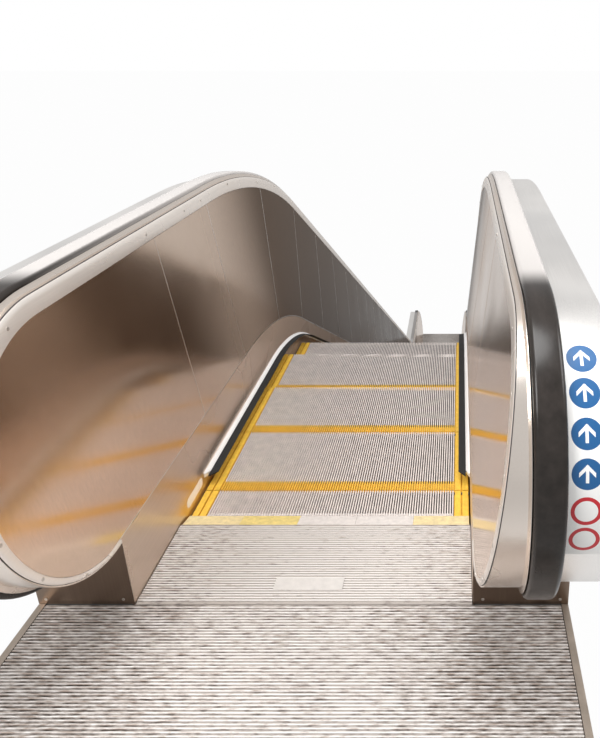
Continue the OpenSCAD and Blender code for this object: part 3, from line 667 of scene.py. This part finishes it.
def both_sides(piece, name, materials, node, smooth=35):
    """Dresses the right piece and its mirror image on the left."""
    left = copy_to(piece, mirror=True)
    left.name = name + "_left"
    piece.name = name + "_right"
    for side, made in (("_right", piece), ("_left", left)):
        dress(made, materials, [node + side] if node else (), smooth)


def drawn(name, points, origin=(0, 0, 0)):
    """A flat face drawn point by point, each measured from the origin; left in edit mode."""
    start_clean()
    bpy.ops.mesh.primitive_plane_add(size=0.01, location=[a + b for a, b in zip(origin, points[0])])
    piece = settle(name)
    edit(piece)
    bpy.context.tool_settings.mesh_select_mode = (True, False, False)
    select_all()
    bpy.ops.mesh.merge(type="CENTER")
    for here, there in zip(points, points[1:]):
        push(*[b - a for a, b in zip(here, there)])
    select_all()
    bpy.ops.mesh.edge_face_add()
    bpy.context.tool_settings.mesh_select_mode = (False, False, True)
    return piece


dress_nodes()


# ---------------------------------------------------------------- steps
def one_step():
    """A step with its nose at the origin: cleated tread, curved cleated riser, yellow edge inserts, cheeks."""
    depth = STEP_PITCH - STEP_GAP
    half = STEP_WIDTH / 2
    rear = (0, -depth, 0)
    under = -CLEAT_H - TREAD_PLATE
    yellow = YELLOW_REAR - depth
    plate = block("tread", (-half, -depth, under), (half, -CLEAT_H, -CLEAT_H))
    coat(plate, STEP_COATS)
    edit(plate)
    cut((0, -CLEAT_H - RISER_PLATE, 0), CUT_Y)
    cut((0, yellow, 0), CUT_Y)
    for side in (-1, 1):
        cut((side * INSERT_X, 0, 0), CUT_X)
    pick(lambda c, n: n.z < -0.9 and c.y > -CLEAT_H - RISER_PLATE)
    turn_out(rear, RISER_TURN, 6)
    done()
    # The plate between the cleats and its front faces take the near black painted shade of the grooves
    paint_faces(plate, 2, lambda c, n: n.z > 0.9 or n.y > 0.3)
    paint_faces(plate, 1, lambda c, n: n.z > 0.9 and (abs(c.x) > INSERT_X or c.y < yellow))

    def bar(width, name):
        made = block(name, (-width / 2, -depth, -CLEAT_H - CLEAT_ROOT), (width / 2, 0, 0))
        coat(made, STEP_COATS)
        edit(made)
        cut((0, -CLEAT_H - CLEAT_ROOT, 0), CUT_Y)
        cut((0, yellow, 0), CUT_Y)
        pick(lambda c, n: n.z < -0.9 and c.y > -CLEAT_H)
        turn_out(rear, RISER_TURN + 0.03, 5)
        done()
        return made

    cleat = bar(CLEAT_W, "cleat")
    paint_faces(cleat, 1, lambda c, n: c.y < yellow + 0.001)
    in_a_row(cleat, CLEAT_COUNT)
    insert = bar(INSERT_W, "insert")
    paint_faces(insert, 1, lambda c, n: c.z > -CLEAT_H)
    inserts = [copy_to(insert, (side * x, 0, 0)) for side in (-1, 1) for x in INSERT_PLACES]
    bpy.data.objects.remove(insert)
    cheek = drawn("cheek", [(0, 0.02 - depth, under), (0, -0.02, under), (0, -0.03, -0.09),
                            (0, ROLLER_Y + 0.02, ROLLER_Z), (0, ROLLER_Y - 0.02, ROLLER_Z - 0.01),
                            (0, 0.02 - depth, -0.06)])
    push(x=CHEEK_T)
    pick(lambda c, n: abs(n.x) > 0.9)
    bpy.ops.mesh.inset(thickness=0.008, depth=-0.003)
    done()
    start_clean()
    bpy.ops.mesh.primitive_cylinder_add(vertices=32, radius=ROLLER_R, depth=ROLLER_W, rotation=ACROSS,
                                        location=(CHEEK_T / 2, ROLLER_Y, ROLLER_Z))
    roller = settle("roller")
    edit(roller)
    pick(lambda c, n: abs(n.x) > 0.9)
    bpy.ops.mesh.inset(thickness=0.008, depth=-0.004)
    bpy.ops.mesh.inset(thickness=0.010, depth=0.003)
    done()
    leg = join("leg", [cheek, roller])
    legs = [copy_to(leg, (side * CHEEK_X - CHEEK_T / 2, 0, 0)) for side in (-1, 1)]
    bpy.data.objects.remove(leg)
    for made in legs:
        coat(made, STEP_COATS)
    return join("step", [plate, cleat, *inserts, *legs])


def nose_at(run):
    """Place and level of a step nose at a distance along the step band from the upper comb tips."""
    bend = NOSE_RADIUS * INCLINE
    left = 2 * (FLAT_RUN + bend) + SLOPE_NOSE - run
    if run < FLAT_RUN:
        return TIP_UP + run, TREAD
    if run < FLAT_RUN + bend:
        turned = (run - FLAT_RUN) / NOSE_RADIUS
        return NOSE_Y + NOSE_RADIUS * math.sin(turned), TREAD - NOSE_RADIUS * (1 - math.cos(turned))
    if left > FLAT_RUN + bend:
        down = run - FLAT_RUN - bend
        return (NOSE_Y + NOSE_RADIUS * math.sin(INCLINE) + down * math.cos(INCLINE),
                TREAD - NOSE_RADIUS * (1 - math.cos(INCLINE)) - down * math.sin(INCLINE))
    if left > FLAT_RUN:
        turned = (left - FLAT_RUN) / NOSE_RADIUS
        return NOSE_Y_LOW - NOSE_RADIUS * math.sin(turned), TREAD_LOW + NOSE_RADIUS * (1 - math.cos(turned))
    return NOSE_Y_LOW + FLAT_RUN - left, TREAD_LOW


STEP_GROUPS = (("steps_upper_landing", 5), ("steps_slope_1", 7), ("steps_slope_2", 8),
               ("steps_slope_3", 7), ("steps_slope_4", 7), ("steps_lower_landing", 5))


def steps():
    """The visible steps, in the groups of the CAD frame."""
    pattern = one_step()
    number = 0
    for node, count in STEP_GROUPS:
        group = []
        for _ in range(count):
            group.append(copy_to(pattern, (0, *nose_at(FIRST_GAP + number * STEP_PITCH))))
            number += 1
        dress(join(node.replace("steps", "cleated_steps"), group), STEP_COATS, [node])
    bpy.data.objects.remove(pattern)


# ---------------------------------------------------------------- comb
COMB_JOINTS = (-0.499, -33 * CLEAT_PITCH, -11 * CLEAT_PITCH, 11 * CLEAT_PITCH, 33 * CLEAT_PITCH, 0.499)


def comb():
    """Comb segments with a tooth for each groove of the steps, tips at the origin."""
    top = FLOOR - TREAD - COMB_CLEAR
    made = []
    for number, (low, high) in enumerate(zip(COMB_JOINTS, COMB_JOINTS[1:])):
        body = block("comb_segment", (low + COMB_GAP, -COMB_LEN, COMB_CLEAR),
                     (high - COMB_GAP, -TOOTH_LEN + 0.010, top))
        coat(body, COMB_COATS)
        edit(body)
        pick(lambda c, d: c.y > -TOOTH_LEN and c.z > 0.01 and abs(d.x) > 0.1, "EDGE")
        bpy.ops.transform.translate(value=(0, 0, -top + COMB_FRONT))
        pick(lambda c, d: abs(d.x) > 0.1 and c.z > 0.008, "EDGE")
        bpy.ops.mesh.bevel(offset=0.0012, segments=2, affect="EDGES")
        done()
        paint_faces(body, COMB_PAINT[number], lambda c, n: True)
        made.append(body)
    tooth = block("tooth", (-TOOTH_HALF, -TOOTH_LEN + 0.008, -0.006), (TOOTH_HALF, 0, 0.0085))
    coat(tooth, COMB_COATS)
    edit(tooth)
    pick(lambda c, d: c.y > -0.001 and c.z > 0, "EDGE")
    bpy.ops.transform.translate(value=(0, -0.002, -0.0075))
    pick(lambda c, d: c.y > -0.001 and c.z < 0, "EDGE")
    bpy.ops.transform.translate(value=(0, -0.004, 0))
    cut((0, -0.012, 0), CUT_Y)
    done()
    return join("comb", [*made, in_a_row(tooth, CLEAT_COUNT - 1)])


def combs():
    """The comb at both landings; the lower one is turned about."""
    pattern = comb()
    for end, place, turn in (("upper", (0, TIP_UP, TREAD), 0), ("lower", (0, TIP_LOW, TREAD_LOW), math.pi)):
        made = copy_to(pattern, place, (0, 0, turn))
        made.name = "toothed_comb_" + end
        dress(made, COMB_COATS, ["comb_segments_" + end])
    bpy.data.objects.remove(pattern)


# ---------------------------------------------------------------- sections carried along the balustrade
# Lines down the machine: brow place, level, radius and cuts, length of the slope, foot place, level and radius
RAIL_LINE = (RAIL_Y, RAIL_TOP, RAIL_RADIUS_UPPER, 20, SLOPE_RAIL, RAIL_Y_LOW, RAIL_TOP_LOW, RAIL_RADIUS_LOWER)
NOSE_LINE = (NOSE_Y, TREAD, NOSE_RADIUS, 14, SLOPE_NOSE, NOSE_Y_LOW, TREAD_LOW, NOSE_RADIUS)
FOOT_CUTS = 14
RAIL_CUTS = 48
DECK_CUTS = 40
INLET_DEPTH = 0.09


def section(name, points, y=NEWEL_Y, z=RAIL_TOP):
    """A flat section across the machine, ready to be carried along; left in edit mode."""
    return drawn(name, [(x, 0, v) for x, v in points], (0, y, z))


def carry_down(start=NEWEL_Y, end=NEWEL_Y_LOW, line=RAIL_LINE):
    """Carries the open section along a line, from the upper newel or another place to the lower one."""
    brow, level, radius, cuts, slope, foot, foot_level, foot_radius = line
    push(y=brow - start)
    turn_out((0, brow, level - radius), INCLINE, cuts)
    push(0, slope * math.cos(INCLINE), -slope * math.sin(INCLINE))
    turn_out((0, foot, foot_level + foot_radius), -INCLINE, FOOT_CUTS)
    push(y=end - foot)


def around_newels(cuts, depth=0.0):
    """Carries the end of a section round the lower newel, then its start round the upper one."""
    turn_out((0, NEWEL_Y_LOW, NEWEL_Z - RISE), math.pi, cuts)
    if depth:
        push(y=-depth)
    pick(lambda c, n: abs(c.y - NEWEL_Y) < 1e-5 and c.z > NEWEL_Z and abs(n.y) > 0.99)
    turn_out((0, NEWEL_Y, NEWEL_Z), -math.pi, cuts)
    if depth:
        push(y=depth)


def corner(x, v, radius, start, end, cuts):
    """Points of a rounded corner of a section."""
    angles = [start + (end - start) * i / cuts for i in range(cuts + 1)]
    return [(x + radius * math.cos(a), v + radius * math.sin(a)) for a in angles]


def handrails():
    """C-shaped rubber with a crowned top, carried from inlet to inlet."""
    half = HANDRAIL_W / 2
    wall = 0.008
    crown = 0.012
    toe = 0.006
    lip = half - wall - 0.0085
    quarter = math.pi / 2
    points = corner(RAIL_X + half - crown, -crown, crown, 0, quarter, 7)
    points += corner(RAIL_X - half + crown, -crown, crown, quarter, 2 * quarter, 7)
    points += corner(RAIL_X - half + toe, -HANDRAIL_T + toe, toe, 2 * quarter, 3 * quarter, 4)
    points += [(RAIL_X - lip, -HANDRAIL_T), (RAIL_X - lip, -HANDRAIL_T + toe),
               (RAIL_X - half + wall, -HANDRAIL_T + toe), (RAIL_X - half + wall, -wall),
               (RAIL_X + half - wall, -wall), (RAIL_X + half - wall, -HANDRAIL_T + toe),
               (RAIL_X + lip, -HANDRAIL_T + toe), (RAIL_X + lip, -HANDRAIL_T)]
    points += corner(RAIL_X + half - toe, -HANDRAIL_T + toe, toe, 3 * quarter, 4 * quarter, 4)
    piece = section("handrail", points)
    carry_down()
    around_newels(RAIL_CUTS, INLET_DEPTH)
    done()
    seal(piece)
    both_sides(piece, "rubber_handrail", [RUBBER], "handrail")


def leaning(w, t):
    """Across and below the handrail top: w up the leaning panel plane, t in front of the panel face."""
    return (SKIRT_X + w * math.sin(LEAN) - t * math.cos(LEAN),
            SKIRT_TOP - HANDRAIL_TOP + w * math.cos(LEAN) + t * math.sin(LEAN))


def lean_into_place(piece, lower):
    """Turns a piece that was made upright at the origin into the leaning panel plane of one newel."""
    choose(piece)
    piece.rotation_euler = (0, LEAN, 0)
    piece.location = (SKIRT_X, NEWEL_Y_LOW if lower else NEWEL_Y, (FLOOR_LOW if lower else FLOOR) + SKIRT_TOP)
    return settle(piece.name)


# Rim profile: share of its width in from the outer edge, and height in front of the panel face
RIM_PROFILE = ((0, -SHEET), (0.04, -0.0008), (0.11, 0.0010), (0.22, 0.0024), (0.37, 0.0030), (0.63, 0.0030),
               (0.93, 0.0024), (0.975, 0.0018), (1.0, 0.0006), (1.0, -SHEET))
RIM_LOW = PANEL_LEN + 0.0008

# Outer and inner radius of the rim round a newel, and the middle of its outer edge above the skirt, upright
RIM_OUTER = NEWEL_RADIUS - HANDRAIL_T
RIM_INNER = RIM_LOW - PANEL_LEN / 2
RIM_MIDDLE = RIM_LEN - RIM_OUTER
ROUND_CUTS = 128


def rim_newel(lower):
    """Crescent of the rim round a newel, drawn in by eccentric loops from its outer edge."""
    start_clean()
    bpy.ops.mesh.primitive_circle_add(vertices=ROUND_CUTS, radius=RIM_OUTER, location=(SHEET, 0, RIM_MIDDLE),
                                      rotation=ACROSS)
    ring = settle("rim_newel")
    edit(ring)
    bpy.context.tool_settings.mesh_select_mode = (False, True, False)
    select_all()
    for here, there in zip(RIM_PROFILE, RIM_PROFILE[1:]):
        size, next_size = (RIM_OUTER + share * (RIM_INNER - RIM_OUTER) for share in (here[0], there[0]))
        at, next_at = (RIM_MIDDLE + share * (PANEL_LEN / 2 - RIM_MIDDLE) for share in (here[0], there[0]))
        push(here[1] - there[1], 0, next_at - at)
        bpy.ops.transform.resize(value=(1, next_size / size, next_size / size), center_override=(0, 0, next_at))
    pick(lambda c, d: abs(c.x - SHEET) < 1e-6 and abs(d.x) < 1e-6, "EDGE")
    bpy.ops.mesh.bridge_edge_loops()
    cut((0, 0, 0), CUT_Y, "inner" if lower else "outer", True)
    done()
    coat(ring, RIM_COATS)
    edge = RIM_OUTER - RIM_PROFILE[1][0] * (RIM_OUTER - RIM_INNER)
    # Painted shadow along the outer edge of the rim
    paint_faces(ring, 1, lambda c, n: math.hypot(c.y, c.z - RIM_MIDDLE) > edge and n.x < 0.9)
    return lean_into_place(ring, lower)


def rims():
    """Rounded rims with their screwed face, and a painted shadow line along the outer edge, at the gap to the inner
    deck.
    """
    points = [leaning(RIM_LEN - share * (RIM_LEN - RIM_LOW), t) for share, t in RIM_PROFILE]
    straight = section("rim", points)
    carry_down()
    done()
    coat(straight, RIM_COATS)
    # Painted shadow along the outer edge of the rim
    paint_faces(straight, 1, lambda c, n: c.x > points[1][0] + 0.00005)
    piece = join("rim", [straight, rim_newel(False), rim_newel(True)])
    seal(piece)
    both_sides(piece, "rounded_rim", RIM_COATS, "panel_rim")


# Panel joints on the level parts, measured from the comb tips, and the number of bays on the slope
LEVEL_JOINTS = (0.240, 0.745)
SLOPE_BAYS = 17
JOINT_HALF = 0.0016
JOINT_DEPTH = 0.0004
JOINT_REACH = 1.5
SEAM = 0.004
PANEL_FOOT = 0.001


def panel_end(lower):
    """Last panel bay at a newel, with its round end."""
    start_clean()
    bpy.ops.mesh.primitive_circle_add(vertices=ROUND_CUTS, radius=PANEL_LEN / 2, fill_type="NGON",
                                      location=(0, 0, PANEL_LEN / 2), rotation=ACROSS)
    sheet = settle("panel_end")
    edit(sheet)
    cut((0, 0, 0), CUT_Y, "inner" if lower else "outer")
    pick(lambda v, n: abs(v.y) < 1e-6, "VERT")
    bpy.ops.mesh.edge_face_add()
    pick(lambda c, d: abs(c.y) < 1e-6 and abs(d.y) < 1e-6, "EDGE")
    run = NEWEL_BACK + LEVEL_JOINTS[0] - JOINT_HALF
    push(y=-run if lower else run)
    select_all()
    push(x=SHEET)
    cut((0, 0, SEAM), CUT_Z)
    done()
    seal(sheet)
    return lean_into_place(sheet, lower)


def joint_places():
    """Middle and direction of every panel joint, going down."""
    places = [((0, TIP_UP + y, RAIL_TOP), 0.0) for y in LEVEL_JOINTS]
    low = [((0, TIP_LOW - y, RAIL_TOP_LOW), 0.0) for y in reversed(LEVEL_JOINTS)]

    def on_bend(angle):
        return (0, RAIL_Y + RAIL_RADIUS_UPPER * math.sin(angle),
                RAIL_TOP - RAIL_RADIUS_UPPER * (1 - math.cos(angle))), angle

    places += [on_bend(INCLINE / 2), on_bend(INCLINE)]
    (_, y, z), _ = on_bend(INCLINE)
    for number in range(1, SLOPE_BAYS + 1):
        along = SLOPE_RAIL * number / SLOPE_BAYS
        places.append(((0, y + along * math.cos(INCLINE), z - along * math.sin(INCLINE)), INCLINE))
    return places + [((0, RAIL_Y_LOW, RAIL_TOP_LOW), 0.0)] + low


def panels():
    """Leaning sheets from newel to newel, with sunk strips at the joints; these and a strip above the skirt carry a
    painted highlight of the sheet edges.
    """
    start = TIP_UP + LEVEL_JOINTS[0] - JOINT_HALF
    end = TIP_LOW - LEVEL_JOINTS[0] + JOINT_HALF
    long = section("panel", [leaning(PANEL_FOOT, 0), leaning(SEAM, 0), leaning(PANEL_LEN, 0),
                             leaning(PANEL_LEN, -SHEET), leaning(PANEL_FOOT, -SHEET)], start)
    carry_down(start, end)
    done()
    piece = join("panel", [long, panel_end(False), panel_end(True)])
    coat(piece, PANEL_COATS)
    seal(piece)
    edit(piece)
    along = [(Vector(place), Vector((0, math.cos(angle), -math.sin(angle)))) for place, angle in joint_places()]
    for place, way in along:
        for side in (-1, 1):
            cut(place + side * JOINT_HALF * way, way)

    def in_joint(c, n):
        return n.x < -0.9 and any(abs((c - place).dot(way)) < JOINT_HALF * 0.6
                                  and (c - place).length < JOINT_REACH for place, way in along)

    if not pick(in_joint):
        raise ValueError("the panels have no joints")
    push(x=-JOINT_DEPTH)
    done()
    seal(piece)
    # Joint strips and the strip above the skirt get the painted highlight
    paint_faces(piece, 1, lambda c, n: in_joint(c, n) or n.x < -0.9 and c.x < SKIRT_X + SEAM * math.sin(LEAN))
    both_sides(piece, "interior_panel_sheet", PANEL_COATS, "interior_panels", None)


def outer_decks():
    """Wide decks outside the handrails, with a rounded and turned-down outer edge."""
    inner = RAIL_X + HANDRAIL_W / 2 + 0.004
    top = -DECK_DROP
    foot = top - 0.034
    bend = 0.008
    outer = [(inner, top - SHEET), (inner, top)]
    outer += corner(DECK_X - bend, top - bend, bend, math.pi / 2, 0, 6)
    outer += [(DECK_X, foot), (DECK_X - SHEET, foot)]
    outer += corner(DECK_X - bend, top - bend, bend - SHEET, 0, math.pi / 2, 6)
    piece = section("deck", outer)
    carry_down()
    around_newels(DECK_CUTS)
    done()
    seal(piece)
    both_sides(piece, "outer_deck_sheet", [DECK_STEEL], "outer_deck")


def back_x(v, t):
    """Place across the machine at a level below the handrail top, t in front of the panel face."""
    return SKIRT_X + (v - SKIRT_TOP + HANDRAIL_TOP) * math.tan(LEAN) - t / math.cos(LEAN)


def inner_decks():
    """Strips between rim and handrail, with a raised outer edge, cut off at the back of the panels."""
    behind = -SHEET - SEAT
    low = -HANDRAIL_T
    base = low - 0.004
    high = low + HANDRAIL_T / 2
    edge = RAIL_X - HANDRAIL_W / 2 - 0.003
    outer = [(edge - 0.006, low), (edge - 0.002, high - 0.003), (edge - 0.001, high), (edge, high), (edge, base)]
    straight = section("inner_deck", [(back_x(base, behind), base), (back_x(low, behind), low), *outer])
    carry_down()
    done()
    ends = []
    inside = 0.3
    x, v = leaning(0, behind)
    for y, drop, turn in ((NEWEL_Y, 0, -math.pi), (NEWEL_Y_LOW, RISE, math.pi)):
        ends.append(section("inner_deck_end", [(inside, base), (inside, low), *outer], y, RAIL_TOP - drop))
        turn_out((0, y, NEWEL_Z - drop), turn, RAIL_CUTS)
        cut((x, y, RAIL_TOP - drop + v), (math.cos(LEAN), 0, -math.sin(LEAN)), "inner", True)
        done()
    piece = join("inner_deck", [straight, *ends])
    seal(piece)
    both_sides(piece, "inner_deck_strip", [INNER_STEEL], "inner_deck")


def brush_guards():
    """Holder rails along the skirts and their bristle strips, cut slanting at both ends."""
    start = TIP_UP + BRUSH_START
    end = TIP_LOW - BRUSH_START
    rail = [(0, 0.065), (-0.0025, 0.065), (-0.0025, 0.0605), (-0.004, 0.0605), (-0.005, 0.0628), (-0.0152, 0.0540),
            (-0.016, 0.052), (-0.016, 0.045), (-0.014, 0.043), (0, 0.043)]
    strip = [(-0.016, 0.055), (-0.044, 0.0505), (-0.044, 0.0485), (-0.016, 0.047)]
    for points, name, node, mat, slot in ((rail, "brush_rails", "brush_holders", HOLDER, "brush_aluminium"),
                                          (strip, "bristle_strips", "brush_bristles", BRISTLE, "bristle_nylon")):
        piece = section(name, [(SKIRT_X + x, v) for x, v in points], start, TREAD)
        carry_down(start, end, NOSE_LINE)
        reach = min(x for x, _ in points)
        for place, way in ((start, 1), (end, -1)):
            pick(lambda v, n: abs(v.y - place) < 1e-5 and v.x < SKIRT_X + reach / 2, "VERT")
            bpy.ops.transform.translate(value=(0, way * BRUSH_SLANT, 0))
        done()
        seal(piece)
        twin = copy_to(piece, mirror=True)
        dress(join(name, [piece, twin]), [mat], [node], 35)


# Screws of the rim: their distances past each panel joint, and their angles up round a newel
JOINT_SCREWS = (-0.05, 0.28)
NEWEL_SCREWS = [math.radians(72 - 27 * number) for number in range(6)]


def screw():
    """A flat screw head with a hexagon socket, on the origin, facing up."""
    start_clean()
    bpy.ops.mesh.primitive_cylinder_add(vertices=18, radius=0.0046, depth=0.0012, location=(0, 0, 0.0006))
    head = settle("screw")
    edit(head)
    pick(lambda c, n: n.z > 0.9)
    bpy.ops.mesh.inset(thickness=0.0008, depth=0.0003)
    bpy.ops.mesh.inset(thickness=0.0016)
    push(z=-0.0010)
    done()
    coat(head, [SCREW])
    return head


def screws():
    """Screw heads on the rims and on the newel bases."""
    face = (0, LEAN - math.pi / 2, 0)
    front = (math.pi / 2, 0, 0)
    spots = []
    x, v = leaning((RIM_LEN + RIM_LOW) / 2, 0.003)
    for (_, y, z), angle in joint_places():
        for off in JOINT_SCREWS:
            spots.append(((x, y + off * math.cos(angle) + v * math.sin(angle),
                           z - off * math.sin(angle) + v * math.cos(angle)), face))
    middle = (RIM_MIDDLE + PANEL_LEN / 2) / 2
    radius = (RIM_OUTER + RIM_INNER) / 2
    for lower in (False, True):
        for turn in NEWEL_SCREWS:
            x, v = leaning(middle + radius * math.sin(turn), 0.0028)
            reach = radius * math.cos(turn)
            y, z = (NEWEL_Y_LOW + reach, RAIL_TOP_LOW + v) if lower else (NEWEL_Y - reach, RAIL_TOP + v)
            spots.append(((x, y, z), face))
    for x in (SKIRT_X + 0.030, DECK_X - 0.045):
        for level in (0.018, SKIRT_TOP - 0.020):
            spots.append(((x, NEWEL_Y, FLOOR + level), front))
    pattern = screw()
    right = join("screw_heads_right", [copy_to(pattern, place, turn) for place, turn in spots])
    bpy.data.objects.remove(pattern)
    left = copy_to(right, mirror=True)
    left.name = "screw_heads_left"
    dress(right, [SCREW])
    dress(left, [SCREW])


def sign_strip():
    """White strip with plain discs and rings, bent over the newel end of the right outer deck."""
    start_clean()
    bpy.ops.mesh.primitive_cylinder_add(vertices=180, radius=NEWEL_RADIUS - DECK_DROP + SIGN_LIFT, depth=SIGN_WIDTH,
                                        location=(SIGN_X, NEWEL_Y, NEWEL_Z), rotation=ACROSS)
    piece = settle("sign_strip")
    edit(piece)
    pick(lambda c, n: abs(n.x) > 0.9)
    bpy.ops.mesh.delete(type="FACE")
    for angle, drop in ((SIGN_TOP, "outer"), (SIGN_LOW, "inner")):
        cut((0, NEWEL_Y, NEWEL_Z), (0, math.sin(angle), math.cos(angle)), drop)
    pick(lambda c, n: c.y > NEWEL_Y)
    bpy.ops.mesh.delete(type="FACE")
    select_all()
    bpy.ops.mesh.solidify(thickness=SIGN_LIFT * 0.9)
    done()
    seal(piece)
    dress(piece, [SIGN_PRINT], (), 30)


steps()
combs()
handrails()
panels()
rims()
outer_decks()
inner_decks()
brush_guards()
screws()
sign_strip()


# ---------------------------------------------------------------- stage, lights and camera
WHITE_FLOOR = 0.97
WHITE_WORLD = 1.0
MIRRORED_WHITE = 0.3
SOFT_LIGHT = 0.52


def whitened(tree, shader, glow, direct):
    """Puts a white glow over a shader: in full where the camera sees it, less where metal mirrors it."""
    path = add_node(tree, "LightPath", {})
    mirrored = maths(tree, "MAXIMUM", path["Is Glossy Ray"], path["Is Transmission Ray"])
    seen = maths(tree, "MULTIPLY", path["Is Camera Ray"], direct)
    share = maths(tree, "MULTIPLY_ADD", mirrored, MIRRORED_WHITE, seen)
    return add_node(tree, "MixShader", {"Fac": share, 1: shader, 2: glow})["Shader"]


def stage():
    """Pale floor under the machine, and a soft white world round it."""
    start_clean()
    bpy.ops.mesh.primitive_plane_add(size=400, location=(0, 8, cad_low.z))
    floor = bpy.context.object
    floor.name = "stage_floor"
    mat, tree, shader = new_material("stage_white")
    feed(tree, shader, {"Base Color": (0.85, 0.85, 0.85, 1), "Roughness": 0.9})
    glow = add_node(tree, "Emission", {"Color": WHITE, "Strength": 1.0})["Emission"]
    feed(tree, tree.nodes["Material Output"], {"Surface": whitened(tree, shader.outputs["BSDF"], glow, WHITE_FLOOR)})
    coat(floor, [mat])

    world = bpy.data.worlds.new("studio")
    bpy.context.scene.world = world
    world.use_nodes = True
    tree = world.node_tree
    tree.nodes.clear()
    soft, white = (add_node(tree, "Background", {"Color": WHITE, "Strength": strength})["Background"]
                   for strength in (SOFT_LIGHT, 1.0))
    feed(tree, tree.nodes.new("ShaderNodeOutputWorld"), {"Surface": whitened(tree, soft, white, WHITE_WORLD)})


def lamp(name, place, target, size, power):
    """A round area lamp that points at a target."""
    data = bpy.data.lights.new(name, "AREA")
    data.shape = "DISK"
    data.size = size
    data.energy = power
    obj = bpy.data.objects.new(name, data)
    bpy.context.scene.collection.objects.link(obj)
    obj.location = place
    obj.rotation_euler = (Vector(target) - Vector(place)).to_track_quat("-Z", "Y").to_euler()


def camera():
    """The camera of the photograph, with its tilt and its off-centre frame."""
    data = bpy.data.cameras.new("camera")
    data.sensor_width = SENSOR
    data.sensor_fit = "AUTO"
    data.lens = FOCAL_PIXELS / PHOTO_HEIGHT * SENSOR
    data.shift_x = (PHOTO_WIDTH / 2 - AXIS_X) / PHOTO_HEIGHT
    data.shift_y = (AXIS_Y - PHOTO_HEIGHT / 2) / PHOTO_HEIGHT
    data.clip_end = 200
    obj = bpy.data.objects.new("camera", data)
    bpy.context.scene.collection.objects.link(obj)
    obj.location = (CAMERA_X, TIP_UP - CAMERA_BACK, TREAD + CAMERA_UP)
    obj.rotation_euler = (math.pi / 2 - CAMERA_PITCH, 0, 0)
    bpy.context.scene.camera = obj


stage()
lamp("key", (-6, -4, 9), (0, 3, 0), 6, 850)
lamp("fill", (7, 1, 7), (0, 3, 0), 6, 500)
lamp("landing", (0.1, TIP_UP - 0.6, FLOOR + 5), (0.0, TIP_UP + 0.2, TREAD), 2.5, 140)
camera()
bpy.context.scene.view_settings.view_transform = "Standard"
